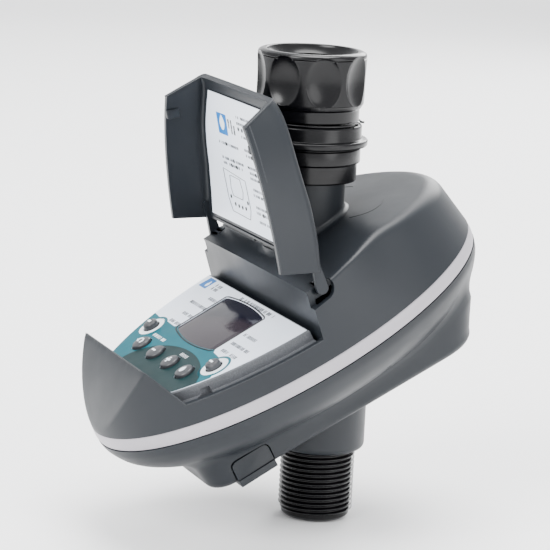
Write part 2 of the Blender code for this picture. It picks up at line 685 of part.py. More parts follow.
def build_valve(m):
    """Valve body, diaphragm, springs, bonnet, solenoid, plunger, nipple and O-ring."""
    back = Vector((0, 1, 0))
    core = Vector((0, 0, VALVE_Z))
    body = rod(10.0, -102.0, -36.2, seg=28, name="valve_body")
    body.data.materials.append(m["valve"])
    out_at = Vector((0, OUTLET_Y, 0))
    steps = [("UNION", rod(14.0, 4.03, 26.0, core, back, seg=26)),
             ("UNION", rod(10.9, -122.0, -96.0, out_at, seg=28)),
             ("DIFFERENCE", rod(7.6, -85.6, -35.0, seg=22)),
             ("DIFFERENCE", turned("tool", [(6.6, 18.5), (12.2, 18.5), (12.2, 27.0), (0, 27.0), (0, 22.5),
                                            (6.6, 22.5)], None, back, core, 26)),
             ("DIFFERENCE", rod(3.1, 1.7, 19.3, core + Vector((0, 0, 9.4)), back, seg=13)),
             ("DIFFERENCE", rod(4.8, 8.3, 23.0, core, back, seg=15)),
             ("DIFFERENCE", rod(7.4, -123.0, -92.2, out_at, seg=22))]
    combine(body, steps)
    turned("diaphragm", [(0, 22.8), (11.6, 22.8), (11.6, 24.0), (5.0, 24.0), (4.2, 24.8), (0, 24.8)],
           m["rubber"], back, core, 28)
    coil("diaphragm_spring", 3.0, 0.35, 25.1, 28.2, 3.5, m["steel"])
    turned("valve_bonnet", [(0, 33.0), (9.6, 33.0), (14.0, 28.4), (14.0, 26.2), (12.0, 26.2), (10.6, 27.4),
                            (5.2, 30.2), (4.4, 30.2), (0, 30.2)], m["valve"], back, core, 28)
    turned("solenoid_coil", [(3.5, 33.3), (7.4, 33.3), (7.4, 44.2), (0, 44.2), (0, 43.4), (3.5, 43.4)],
           m["coil"], back, core, 24)
    turned("plunger", [(0, 33.4), (3.1, 33.4), (3.1, 40.0), (2.1, 40.0), (2.1, 36.0), (0, 36.0)],
           m["steel"], back, core, 20)
    coil("plunger_spring", 1.5, 0.25, 36.4, 41.6, 4.5, m["steel"])
    for piece in ("diaphragm", "diaphragm_spring", "plunger", "plunger_spring"):
        set_origin(bpy.data.objects[piece], core)
    ridge = []
    z = BOSS_Z - 1.0
    while z > THREAD_END + 2.6:
        ridge += [(THREAD_R - 1.15, z), (THREAD_R, z - THREAD_PITCH / 2)]
        z -= THREAD_PITCH
    profile = [(11.3, -122.4), (11.3, BOSS_Z - 0.4)] + ridge
    profile += [(THREAD_R - 1.2, z), (THREAD_R - 1.2, THREAD_END + 0.8), (THREAD_R - 1.9, THREAD_END),
                (9.2, THREAD_END), (9.2, -122.4)]
    turned("outlet_nipple", profile, m["black"], origin=out_at, seg=22)
    turned("outlet_o_ring", [(7.8, -124.6), (8.9, -124.6), (8.9, -123.4), (7.8, -123.4)], m["rubber"],
           origin=out_at, seg=24)


def coil(name, radius, wire, h0, h1, turns, mat):
    """Round-wire spring along the valve's axis."""
    bm = bmesh.new()
    steps = int(turns * 9)
    loops = []
    for k in range(steps + 1):
        a = 2 * math.pi * turns * k / steps
        h = h0 + wire + (h1 - h0 - 2 * wire) * k / steps
        loop = []
        for j in range(4):
            b = 2 * math.pi * j / 4
            r = radius + wire * math.cos(b)
            loop.append(Vector((r * math.cos(a), h + wire * math.sin(b), VALVE_Z + r * math.sin(a))))
        loops.append(loop)
    skin(bm, loops)
    return finish(name, bm, mat)


def build_battery(m):
    """Two cells, their contacts, the door and its seal."""
    across = Vector((1, 0, 0))
    for k, s in enumerate((-50.6, -39.6)):
        turned("battery_cell_%d" % (k + 1), [(0, -22.2), (4.6, -22.2), (5.1, -21.6), (5.1, 20.6), (4.6, 21.1),
                                             (1.9, 21.2), (1.9, 22.2), (0, 22.2)],
               m["cell"], across, tilt(0.0, s, -25.0), 20)
    strip = [(-52.6, -29.0), (-35.2, -29.0), (-35.2, -22.0), (-52.6, -22.0)]
    prism(strip, 22.4, 22.8, "battery_contact_right", m["steel"])
    prism(strip, -22.8, -22.4, "battery_contact_left", m["steel"])
    door = plate(door_outline(0.0), KEEL_N, KEEL_N + 1.9, "battery_door", m["grey"])
    steps = []
    for side in (-1, 1):
        lo, hi = (24.3, 26.7) if side > 0 else (-26.7, -24.3)
        tab = [(-52.8, -33.2), (-52.8, -26.0), (-51.5, -24.7), (-39.5, -24.7), (-38.2, -26.0), (-38.2, -33.2)]
        steps.append(("UNION", prism(tab, lo, hi)))
        lo, hi = (21.0, 27.4) if side > 0 else (-27.4, -21.0)
        foot = [(-52.8, -34.0), (-52.8, -31.4), (-38.2, -31.4), (-38.2, -34.0)]
        steps.append(("UNION", prism(foot, lo, hi)))
    combine(door, steps)
    plate(door_outline(-1.0), KEEL_N + 2.1, KEEL_N + 2.7, "door_seal", m["rubber"])
    seal = bpy.data.objects["door_seal"]
    combine(seal, [("DIFFERENCE", plate(door_outline(-2.4), -40.0, -25.0))])
    for piece in (door, seal):
        set_origin(piece, tilt(0.0, -42.5, KEEL_N))


def build():
    """Clear the scene and build every piece."""
    for obj in list(bpy.data.objects):
        bpy.data.objects.remove(obj)
    m = {
        "grey": material("case_grey", (0.085, 0.095, 0.105), 0.42),
        "dark": material("panel_grey", (0.20, 0.20, 0.21), 0.5),
        "pale": material("trim_grey", (0.52, 0.50, 0.53), 0.4),
        "black": material("fitting_black", (0.012, 0.012, 0.015), 0.3),
        "rubber": material("seal_rubber", (0.02, 0.02, 0.02), 0.8),
        "mesh": material("strainer_mesh", (0.45, 0.46, 0.47), 0.5),
        "steel": material("stainless", (0.6, 0.6, 0.6), 0.3, 1.0),
        "label": material("label_film", (0.82, 0.87, 0.92), 0.35),
        "glass": material("display_glass", (0.10, 0.10, 0.13), 0.1),
        "module": material("display_frame", (0.25, 0.27, 0.24), 0.4),
        "board": material("board_green", (0.02, 0.14, 0.06), 0.4),
        "button": material("button_grey", (0.19, 0.19, 0.19), 0.5),
        "valve": material("valve_nylon", (0.03, 0.03, 0.03), 0.5),
        "coil": material("coil_moulding", (0.05, 0.06, 0.12), 0.5),
        "cell": material("cell_jacket", (0.10, 0.10, 0.35), 0.35),
    }
    build_inlet(m)
    build_case(m)
    build_panel(m)
    build_lid(m)
    build_valve(m)
    build_battery(m)


build()
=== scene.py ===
"""Looks of the hose-end irrigation controller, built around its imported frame.

The case is drawn in its own tilted coordinates (x, s, n) in millimetres: x runs across it, s
along the pale band towards the rear and n square to the band. CaseShape turns them into the
frame's metres. The inlet, the outlet and everything round them stand upright in world
coordinates. Each sub-assembly is a class that holds its sizes and builds its own pieces.
"""
from __future__ import annotations

import json
import logging
import math
from dataclasses import dataclass
from enum import Enum
from typing import Callable, Sequence

import bmesh
import bpy
from mathutils import Matrix, Vector

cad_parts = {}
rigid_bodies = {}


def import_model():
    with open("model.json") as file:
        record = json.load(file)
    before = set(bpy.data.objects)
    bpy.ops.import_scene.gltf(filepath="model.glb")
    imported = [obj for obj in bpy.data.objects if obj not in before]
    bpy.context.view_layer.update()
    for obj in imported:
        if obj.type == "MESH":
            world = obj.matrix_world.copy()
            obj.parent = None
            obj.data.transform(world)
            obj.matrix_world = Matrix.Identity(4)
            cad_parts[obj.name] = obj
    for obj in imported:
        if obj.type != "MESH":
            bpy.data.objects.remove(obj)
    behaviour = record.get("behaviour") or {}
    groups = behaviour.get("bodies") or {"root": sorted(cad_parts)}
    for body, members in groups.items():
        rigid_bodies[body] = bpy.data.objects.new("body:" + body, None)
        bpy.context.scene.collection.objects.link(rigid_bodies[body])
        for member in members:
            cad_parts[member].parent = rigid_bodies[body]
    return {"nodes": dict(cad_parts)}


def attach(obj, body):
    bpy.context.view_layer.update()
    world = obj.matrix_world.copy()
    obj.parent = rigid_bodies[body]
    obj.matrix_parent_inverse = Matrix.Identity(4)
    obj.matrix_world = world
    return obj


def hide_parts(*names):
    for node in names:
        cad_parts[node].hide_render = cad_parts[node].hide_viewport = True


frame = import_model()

LOG = logging.getLogger("irrigation_controller")
MM = 0.001
UP = Vector((0.0, 0.0, 1.0))
ACROSS = Vector((1.0, 0.0, 0.0))
Outline = Sequence[tuple[float, float]]


class Body(Enum):
    """The moving bodies of the frame that pieces ride on."""

    CASE = "case"
    NUT = "nut"
    LID = "lid"
    DOOR = "door"


class Slot(Enum):
    """The record's material slots."""

    CASE = "case_grey"
    PANEL = "panel_grey"
    TRIM = "trim_grey"
    FITTING = "fitting_black"
    STEEL = "stainless"
    LABEL = "label_film"
    GLASS = "display_glass"
    BUTTON = "button_grey"


# ---- finishes -----------------------------------------------------------------------------
def linear(red: float, green: float, blue: float) -> tuple[float, float, float, float]:
    """Turn a colour on the 0 to 255 display scale into a linear one.

    Args:
        red, green, blue: the colour as a maker's colour card gives it.

    Returns:
        The linear colour with full alpha.
    """
    parts = []
    for value in (red, green, blue):
        level = value / 255.0
        parts.append(level / 12.92 if level <= 0.04045 else ((level + 0.055) / 1.055) ** 2.4)
    return (parts[0], parts[1], parts[2], 1.0)


class Nodes:
    """Small helper that adds linked shader nodes to one material."""

    def __init__(self, name: str) -> None:
        """Start an empty node material.

        Args:
            name: name of the new one.
        """
        self.material = bpy.data.materials.new(name)
        self.material.use_nodes = True
        self.tree = self.material.node_tree
        self.shader = self.tree.nodes["Principled BSDF"]
        self.place = self.add("ShaderNodeTexCoord", {}).outputs["Object"]

    def add(self, kind: str, inputs: dict, **settings: object) -> bpy.types.ShaderNode:
        """Add a node.

        Args:
            kind: Blender's node type.
            inputs: socket name or number to a constant or to another node's output.
            settings: attributes of the node itself.

        Returns:
            The new node.
        """
        node = self.tree.nodes.new(kind)
        for key, value in settings.items():
            setattr(node, key, value)
        for key, value in inputs.items():
            self.feed(node.inputs[key], value)
        return node

    def feed(self, socket: bpy.types.NodeSocket, value: object) -> None:
        """Link an output to a socket, or set its constant.

        Args:
            socket: the input socket.
            value: an output to link or a constant to set.
        """
        if isinstance(value, bpy.types.NodeSocket):
            self.tree.links.new(value, socket)
        else:
            socket.default_value = value

    def noise(self, scale: float, detail: float = 3.0, rough: float = 0.55) -> bpy.types.NodeSocket:
        """Noise on the piece's own coordinates, per metre."""
        return self.add("ShaderNodeTexNoise", {"Vector": self.place, "Scale": scale, "Detail": detail,
                                               "Roughness": rough}).outputs[0]

    def ranged(self, value: bpy.types.NodeSocket, low: float, high: float, to_low: float = 0.0,
               to_high: float = 1.0) -> bpy.types.NodeSocket:
        """Map a value from one range to another, held at the ends.

        Args:
            value: the value to map.
            low: lower end of the range.
            high: upper end of the range.
            to_low: what the lower end becomes.
            to_high: what the upper end becomes.

        Returns:
            The mapped value.
        """
        node = self.add("ShaderNodeMapRange", {"Value": value, "From Min": low, "From Max": high,
                                               "To Min": to_low, "To Max": to_high})
        return node.outputs[0]

    def blend(self, factor: object, one: object, two: object) -> bpy.types.NodeSocket:
        """Mix two colours."""
        node = self.add("ShaderNodeMix", {0: factor, 6: one, 7: two}, data_type="RGBA")
        return node.outputs[2]

    def maths(self, operation: str, one: object, two: object = 0.0) -> bpy.types.NodeSocket:
        """One sum on two values."""
        return self.add("ShaderNodeMath", {0: one, 1: two}, operation=operation).outputs[0]

    def axis(self, name: str) -> bpy.types.NodeSocket:
        """One coordinate of the piece, in metres."""
        return self.add("ShaderNodeSeparateXYZ", {0: self.place}).outputs[name]

    def bumps(self, layers: Sequence[tuple[bpy.types.NodeSocket, float, float]]) -> None:
        """Stack (height, strength, depth in metres) bumps on the shader's normal.

        Args:
            layers: (height, strength, depth) of each bump.
        """
        normal = None
        for height, strength, depth in layers:
            inputs: dict = {"Height": height, "Strength": strength, "Distance": depth}
            if normal is not None:
                inputs["Normal"] = normal
            normal = self.add("ShaderNodeBump", inputs).outputs[0]
        if normal is not None:
            self.feed(self.shader.inputs["Normal"], normal)


@dataclass(frozen=True)
class Moulding:
    """A moulded, drawn or pressed finish with a little tone, gloss and surface of its own."""

    name: str
    base: tuple[float, float, float]
    shade: tuple[float, float, float]
    rough: float = 0.45
    spread: float = 0.05
    grain: float = 2600.0
    depth: float = 0.00002
    strength: float = 0.25
    mottle: float = 60.0
    metallic: float = 0.0
    coat: float = 0.0
    specular: float = 0.5
    spark: float = 0.0

    def make(self) -> bpy.types.Material:
        """Build the finish as a node material.

        Returns:
            The node material.
        """
        nodes = Nodes(self.name)
        cloud = nodes.noise(self.mottle, 4.0)
        fine = nodes.noise(self.grain, 2.0)
        tone = nodes.blend(nodes.ranged(cloud, 0.35, 0.68), linear(*self.base), linear(*self.shade))
        if self.spark > 0.0:
            fleck = nodes.ranged(fine, 0.45, 0.75, 0.0, self.spark)
            tone = nodes.blend(fleck, tone, linear(*(min(255.0, c * 1.5 + 12.0) for c in self.base)))
        shader = nodes.shader
        nodes.feed(shader.inputs["Base Color"], tone)
        low, high = max(0.03, self.rough - self.spread), min(0.98, self.rough + self.spread)
        patches = nodes.noise(self.mottle * 2.3)
        nodes.feed(shader.inputs["Roughness"], nodes.ranged(patches, 0.3, 0.7, low, high))
        shader.inputs["Metallic"].default_value = self.metallic
        shader.inputs["Coat Weight"].default_value = self.coat
        shader.inputs["Specular IOR Level"].default_value = self.specular
        wave = nodes.noise(self.mottle * 0.6, 1.0)
        nodes.bumps([(wave, 0.05, 0.00005), (fine, self.strength, self.depth)])
        nodes.material.diffuse_color = linear(*self.base)
        return nodes.material


@dataclass(frozen=True)
class DisplayGlass:
    """Dark display window with a painted reflection: its tone fades from warm grey to deep blue across one
    corner.
    """

    name: str = "display_painted_reflection"
    warm: tuple[float, float, float] = (48, 42, 48)
    deep: tuple[float, float, float] = (12, 12, 28)

    def make(self) -> bpy.types.Material:
        """Build the finish as a node material.

        Returns:
            The node material.
        """
        nodes = Nodes(self.name)
        # Painted reflection: the tone fades from warm grey to deep blue along this slanted line, standing in
        # for light off the glass.
        run = nodes.maths("ADD", nodes.maths("MULTIPLY", nodes.axis("Y"), 0.85),
                          nodes.maths("MULTIPLY", nodes.axis("X"), -0.25))
        wander = nodes.maths("MULTIPLY", nodes.noise(110.0, 2.0), 0.007)
        edge = nodes.ranged(nodes.maths("ADD", run, wander), -0.0215, -0.0185)
        tone = nodes.blend(edge, linear(*self.warm), linear(*self.deep))
        nodes.feed(nodes.shader.inputs["Base Color"], tone)
        nodes.feed(nodes.shader.inputs["Roughness"], nodes.ranged(nodes.noise(400.0), 0.3, 0.7, 0.08, 0.16))
        nodes.shader.inputs["Specular IOR Level"].default_value = 0.3
        return nodes.material


@dataclass(frozen=True)
class WovenMesh:
    """Fine woven strainer cloth."""

    name: str = "strainer_weave"
    wire: tuple[float, float, float] = (150, 152, 154)
    gap: tuple[float, float, float] = (30, 30, 32)

    def make(self) -> bpy.types.Material:
        """Build the finish as a node material.

        Returns:
            The node material.
        """
        nodes = Nodes(self.name)
        waves = []
        for direction in ("X", "Y", "Z"):
            waves.append(nodes.maths("SINE", nodes.maths("MULTIPLY", nodes.axis(direction), 9000.0)))
        cloth = nodes.maths("ADD", nodes.maths("ADD", waves[0], waves[1]), waves[2])
        open_part = nodes.ranged(cloth, -0.8, 0.6)
        tone = nodes.blend(open_part, linear(*self.gap), linear(*self.wire))
        nodes.feed(nodes.shader.inputs["Base Color"], tone)
        nodes.feed(nodes.shader.inputs["Roughness"], nodes.ranged(nodes.noise(900.0), 0.3, 0.7, 0.3, 0.5))
        nodes.shader.inputs["Metallic"].default_value = 0.9
        nodes.bumps([(open_part, 0.5, 0.00005)])
        return nodes.material


@dataclass(frozen=True)
class PrintedBoard:
    """Lacquered circuit board with copper tracks and solder pads."""

    name: str = "board_lacquer"
    lacquer: tuple[float, float, float] = (18, 84, 48)
    track: tuple[float, float, float] = (44, 122, 70)
    pad: tuple[float, float, float] = (188, 182, 150)

    def make(self) -> bpy.types.Material:
        """Build the finish as a node material.

        Returns:
            The node material.
        """
        nodes = Nodes(self.name)
        tracks = nodes.add("ShaderNodeTexBrick", {"Vector": nodes.place, "Scale": 260.0, "Mortar Size": 0.06})
        pads = nodes.add("ShaderNodeTexVoronoi", {"Vector": nodes.place, "Scale": 330.0})
        tone = nodes.blend(tracks.outputs["Fac"], linear(*self.lacquer), linear(*self.track))
        dots = nodes.ranged(pads.outputs["Distance"], 0.16, 0.12)
        nodes.feed(nodes.shader.inputs["Base Color"], nodes.blend(dots, tone, linear(*self.pad)))
        nodes.feed(nodes.shader.inputs["Roughness"], nodes.ranged(nodes.noise(300.0), 0.3, 0.7, 0.25, 0.4))
        nodes.bumps([(tracks.outputs["Fac"], 0.3, 0.00003)])
        return nodes.material


@dataclass(frozen=True)
class CellJacket:
    """Wrapped dry cell: dark body, bright collar and bare metal ends."""

    name: str = "cell_wrap"
    body: tuple[float, float, float] = (38, 42, 88)
    collar: tuple[float, float, float] = (186, 132, 60)
    metal: tuple[float, float, float] = (190, 190, 188)

    def make(self) -> bpy.types.Material:
        """Build the finish as a node material.

        Returns:
            The node material.
        """
        nodes = Nodes(self.name)
        along = nodes.axis("X")
        tone = nodes.blend(nodes.ranged(along, 0.0118, 0.0121), linear(*self.body), linear(*self.collar))
        ends = nodes.ranged(nodes.maths("ABSOLUTE", along), 0.0208, 0.0210)
        shader = nodes.shader
        nodes.feed(shader.inputs["Base Color"], nodes.blend(ends, tone, linear(*self.metal)))
        nodes.feed(shader.inputs["Metallic"], ends)
        nodes.feed(shader.inputs["Roughness"], nodes.ranged(nodes.noise(500.0), 0.3, 0.7, 0.22, 0.36))
        nodes.bumps([(nodes.noise(1500.0), 0.1, 0.00002)])
        return nodes.material


class FinishBook:
    """Every finish by its trade name, each made once."""

    MOULDINGS = (
        Moulding("case_satin", (21, 25, 30), (24, 28, 33), 0.42, 0.04, 5200.0, 0.000006, 0.15, 24.0,
                 specular=0.3),
        # Lighter edge finish for the edge beads: part texture, part painted highlight where the edges catch
        # light.
        Moulding("case_edge_texture_and_highlight", (34, 37, 41), (39, 42, 46), 0.48, 0.05, 1700.0, 0.00005, 0.5, 40.0,
                 specular=0.35, spark=0.25),
        Moulding("ledge_matt", (66, 68, 72), (76, 78, 82), 0.6, 0.05, 2600.0, 0.00005, 0.6, 60.0, spark=0.45),
        Moulding("band_pale", (156, 152, 158), (164, 160, 166), 0.40, 0.04, 5000.0, 0.00001, 0.2, 30.0),
        Moulding("nylon_gloss", (2, 2, 4), (4, 4, 6), 0.24, 0.03, 4200.0, 0.000006, 0.15, 60.0,
                 specular=0.28),
        Moulding("rubber_black", (16, 16, 16), (22, 22, 22), 0.78, 0.06, 3000.0, 0.00003, 0.4, 120.0),
        Moulding("steel_bright", (150, 150, 148), (166, 166, 164), 0.28, 0.08, 4200.0, 0.00001, 0.3, 300.0,
                 metallic=1.0),
        Moulding("film_white", (232, 238, 248), (224, 233, 246), 0.36, 0.05, 1400.0, 0.00001, 0.1, 30.0),
        Moulding("ink_teal", (0, 84, 96), (0, 90, 102), 0.34, 0.05, 1400.0, 0.00001, 0.1, 50.0, specular=0.1),
        Moulding("ink_deep_teal", (2, 34, 36), (3, 38, 40), 0.34, 0.05, 1400.0, 0.00001, 0.1, 50.0,
                 specular=0.1),
        Moulding("ink_white", (238, 243, 246), (230, 238, 242), 0.38, 0.04, 1400.0, 0.00001, 0.1, 50.0),
        Moulding("ink_blue", (0, 100, 172), (0, 106, 178), 0.34, 0.04, 1400.0, 0.00001, 0.1, 50.0,
                 specular=0.15),
        Moulding("ink_dark", (10, 16, 22), (16, 22, 28), 0.4, 0.05, 1400.0, 0.00001, 0.1, 200.0,
                 specular=0.15),
        Moulding("key_grey", (50, 51, 54), (56, 57, 60), 0.36, 0.05, 3600.0, 0.00001, 0.2, 120.0),
        Moulding("nylon_matt", (22, 23, 25), (28, 29, 31), 0.5, 0.06, 2600.0, 0.00003, 0.3, 90.0),
        Moulding("coil_epoxy", (28, 36, 66), (36, 44, 78), 0.46, 0.08, 1800.0, 0.00004, 0.3, 120.0),
        Moulding("seam_shadow", (14, 15, 17), (20, 21, 23), 0.6, 0.05, 2600.0, 0.00002, 0.3, 90.0),
        Moulding("module_frame", (90, 96, 86), (102, 108, 98), 0.4, 0.08, 1800.0, 0.00003, 0.3, 90.0),
        Moulding("floor_card", (250, 250, 250), (251, 251, 251), 0.9, 0.04, 300.0, 0.0001, 0.1, 2.0),
    )

    def __init__(self) -> None:
        """Start with no finish made yet."""
        self.made: dict[str, bpy.types.Material] = {}
        self.recipes = {recipe.name: recipe for recipe in self.MOULDINGS}
        for recipe in (DisplayGlass(), WovenMesh(), PrintedBoard(), CellJacket()):
            self.recipes[recipe.name] = recipe

    def get(self, name: str) -> bpy.types.Material:
        """The finish of that name.

        Args:
            name: the finish's name.

        Returns:
            The material, made on first use.
        """
        if name not in self.made:
            self.made[name] = self.recipes[name].make()
        return self.made[name]


FINISHES = FinishBook()


# ---- shapes -------------------------------------------------------------------------------
class SmoothLine:
    """A smooth curve through (t, value) points that never overshoots them."""

    def __init__(self, points: Outline) -> None:
        """Work out the slope at each point.

        Args:
            points: the points, in order.
        """
        self.points = list(points)
        steps = [(v1 - v0) / (t1 - t0) for (t0, v0), (t1, v1) in zip(points, points[1:])]
        inner = [0.0 if a * b <= 0.0 else 2.0 * a * b / (a + b) for a, b in zip(steps, steps[1:])]
        self.slopes = [steps[0]] + inner + [steps[-1]]

    def __call__(self, t: float) -> float:
        """Read the curve at t, held at both ends.

        Args:
            t: where to read the curve.

        Returns:
            The value there.
        """
        pts = self.points
        if t <= pts[0][0]:
            return pts[0][1]
        if t >= pts[-1][0]:
            return pts[-1][1]
        k = next(i for i in range(len(pts) - 1) if t <= pts[i + 1][0])
        width = pts[k + 1][0] - pts[k][0]
        u = (t - pts[k][0]) / width
        a, b = self.slopes[k] * width, self.slopes[k + 1] * width
        v0, v1 = pts[k][1], pts[k + 1][1]
        return (v0 * (1 + 2 * u) * (1 - u) ** 2 + a * u * (1 - u) ** 2
                + v1 * u * u * (3 - 2 * u) + b * u * u * (u - 1))


@dataclass(frozen=True)
class CaseShape:
    """The tilted oval case: its band outline, top line, wall lean and belly, in millimetres."""

    tilt_deg: float = 29.0
    band_z: float = -91.5
    half_length: float = 76.0
    half_across: float = 51.1
    middle: float = -8.0
    wall: float = 2.2
    band_high: float = 5.2
    ledge: float = 7.4
    panel: float = 10.7
    panel_inset: float = 5.8
    panel_rear: float = -12.4
    hinge_s: float = -3.0
    hinge_n: float = 22.6
    lid_wall: float = 1.7
    lid_gap: float = 0.5
    lid_close: float = 107.2
    keel: float = -33.0

    TOP = SmoothLine([(-84.0, 1.3), (-81.0, 5.9), (-78.0, 9.9), (-73.5, 15.1), (-69.0, 19.5), (-65.6, 22.3),
                      (-62.0, 23.3), (-57.0, 23.7), (-47.0, 23.65), (-38.0, 24.0), (-29.0, 24.5),
                      (-20.0, 24.4), (-10.0, 23.8), (0.0, 24.6), (10.0, 26.0), (23.0, 26.6),
                      (35.0, 25.0), (50.0, 22.2),
                      (62.0, 19.8), (72.0, 18.2)])
    LEAN = SmoothLine([(-84.0, 0.09), (-40.0, 0.09), (-10.0, 0.05), (8.0, 0.10), (32.0, 0.24), (72.0, 0.20)])
    RIDGE = SmoothLine([(-84.0, 0.9), (-66.0, 1.0), (-52.0, 1.4), (-20.0, 1.6), (0.0, 1.5), (14.0, 1.9),
                        (26.0, 3.0), (44.0, 4.2), (68.0, 5.0)])
    BELLY = SmoothLine([(0.0, 0.0), (0.35, 2.0), (1.16, 4.0), (4.1, 8.6), (8.6, 12.6), (14.8, 16.2),
                        (26.0, 19.2), (51.0, 20.4)])

    @property
    def sine(self) -> float:
        """Sine of the case's tilt."""
        return math.sin(math.radians(self.tilt_deg))

    @property
    def cosine(self) -> float:
        """Cosine of the case's tilt."""
        return math.cos(math.radians(self.tilt_deg))

    def place(self, x: float, s: float, n: float) -> Vector:
        """Case coordinates to world millimetres."""
        return Vector((x, s * self.cosine - n * self.sine, self.band_z + s * self.sine + n * self.cosine))

    def normal(self) -> Vector:
        """World direction square to the band."""
        return Vector((0.0, -self.sine, self.cosine))

    def hinge(self) -> Vector:
        """A point on the lid's hinge axis, in world millimetres."""
        return self.place(0.0, self.hinge_s, self.hinge_n)

    def top(self, s: float, x: float = 0.0) -> float:
        """Height of the upper surface."""
        crown = 0.4 if s < -10.0 else min(1.2, 0.4 + 0.04 * (s + 10.0))
        return self.TOP(s) - crown * (x / 50.0) ** 2

    def world_top(self, x: float, y: float) -> float:
        """World height of the upper surface over a world (x, y).

        Args:
            x: place across the case.
            y: place from front to back in the world.

        Returns:
            The height, in world millimetres.
        """
        z = -60.0
        for _ in range(12):
            s = y * self.cosine + (z - self.band_z) * self.sine
            z = self.band_z + (self.top(s, x) + y * self.sine) / self.cosine
        return z

    def rim(self, theta: float, inset: float) -> tuple[float, float]:
        """Point (x, s) of the band outline drawn in by inset; theta 0 is the nose."""
        return ((self.half_across - inset) * math.sin(theta),
                self.middle - (self.half_length - inset) * math.cos(theta))

    def half_width(self, s: float, inset: float) -> float:
        """Half width of the drawn-in band outline at s."""
        u = (s - self.middle) / (self.half_length - inset)
        return (self.half_across - inset) * math.sqrt(max(0.0, 1.0 - u * u))

    def inset_of(self, x: float, s: float) -> float:
        """How far the outline is drawn in when it passes through (x, s).

        Args:
            x: place across the case.
            s: place along the case.

        Returns:
            The inset, in millimetres.
        """
        low, high = 0.0, self.half_across - 0.05
        for _ in range(22):
            mid = (low + high) / 2.0
            u, v = x / (self.half_across - mid), (s - self.middle) / (self.half_length - mid)
            if u * u + v * v > 1.0:
                high = mid
            else:
                low = mid
        return low

    def panel_outline(self, inset: float, rear: float, count: int = 90) -> list[tuple[float, float]]:
        """Panel outline in (x, s): the band outline drawn in, cut straight at both ends.

        Args:
            inset: how far it is drawn in.
            rear: where its straight rear edge lies.
            count: points round the curve.

        Returns:
            The (x, s) points.
        """
        start = math.acos(max(-1.0, min(1.0, (self.middle - rear) / (self.half_length - inset))))
        front = -68.0 - 0.9 * (self.panel_inset - inset)
        points = [self.rim(-start + 2 * start * k / (count - 1), inset) for k in range(count)]
        return [(x, max(s, front)) for x, s in points]


CASE_SHAPE = CaseShape()


# ---- mesh workshop ------------------------------------------------------------------------
def shade(obj: bpy.types.Object, angle: float) -> None:
    """Smooth shading with edges sharper than the angle left crisp.

    Args:
        obj: the piece.
        angle: edges sharper than this many degrees stay crisp.
    """
    mesh = obj.data
    mesh.polygons.foreach_set("use_smooth", [True] * len(mesh.polygons))
    mesh.set_sharp_from_angle(angle=math.radians(angle))


def finish_mesh(name: str, bm: bmesh.types.BMesh, angle: float = 35.0) -> bpy.types.Object:
    """Turn a bmesh drawn in world millimetres into an object at the origin.

    Args:
        name: the piece's name.
        bm: the bmesh, which is freed.
        angle: edges sharper than this stay crisp.

    Returns:
        The new object.
    """
    bmesh.ops.remove_doubles(bm, verts=bm.verts, dist=0.0005)
    bmesh.ops.scale(bm, vec=(MM, MM, MM), verts=bm.verts)
    bmesh.ops.recalc_face_normals(bm, faces=bm.faces)
    mesh = bpy.data.meshes.new(name)
    bm.to_mesh(mesh)
    bm.free()
    obj = bpy.data.objects.new(name, mesh)
    bpy.context.scene.collection.objects.link(obj)
    shade(obj, angle)
    return obj


def skin(bm: bmesh.types.BMesh, loops: Sequence[Sequence[Vector]], closed: bool = False,
         caps: bool = True) -> list[list[bmesh.types.BMVert]]:
    """Bridge equal loops into a tube, capped or joined end to end, and return its rings.

    Args:
        bm: the mesh being made.
        loops: rings of world points in millimetres, all of one length.
        closed: whether the last ring joins the first.
        caps: whether the two open ends get a face.

    Returns:
        The rings of mesh points.
    """
    rings = [[bm.verts.new(p) for p in loop] for loop in loops]
    count = len(rings[0])
    pairs = list(zip(rings, rings[1:]))
    if closed:
        pairs.append((rings[-1], rings[0]))
    for low, high in pairs:
        for i in range(count):
            j = (i + 1) % count
            bm.faces.new((low[i], low[j], high[j], high[i]))
    if caps and not closed:
        bm.faces.new(list(reversed(rings[0])))
        bm.faces.new(rings[-1])
    return rings


def fan(bm: bmesh.types.BMesh, ring: Sequence[bmesh.types.BMVert], centre: Vector) -> None:
    """Close a ring with triangles to one centre point.

    Args:
        bm: the mesh being made.
        ring: the ring of points to close.
        centre: the middle point, in world millimetres.
    """
    hub = bm.verts.new(centre)
    for i, vert in enumerate(ring):
        bm.faces.new((vert, ring[(i + 1) % len(ring)], hub))


def eased(profile: Outline, radius: float = 0.3, steps: int = 3) -> list[tuple[float, float]]:
    """Round every corner of a closed (radius, height) outline off its axis.

    Args:
        profile: corner points in order.
        radius: how far back from a corner the rounding starts.
        steps: short edges per corner.

    Returns:
        The outline with small curves for corners.
    """
    out: list[tuple[float, float]] = []
    count = len(profile)
    for i, corner in enumerate(profile):
        before, after = Vector(profile[i - 1]), Vector(profile[(i + 1) % count])
        here = Vector(corner)
        if here.x < 1e-6:
            out.append((here.x, here.y))
            continue
        back, ahead = before - here, after - here
        cut = min(radius, back.length * 0.42, ahead.length * 0.42)
        if cut < 1e-4 or abs(back.normalized().cross(ahead.normalized())) < 0.05:
            out.append((here.x, here.y))
            continue
        start, end = here + back.normalized() * cut, here + ahead.normalized() * cut
        for k in range(steps + 1):
            t = k / steps
            point = start * (1 - t) ** 2 + here * 2 * t * (1 - t) + end * t * t
            out.append((point.x, point.y))
    return out


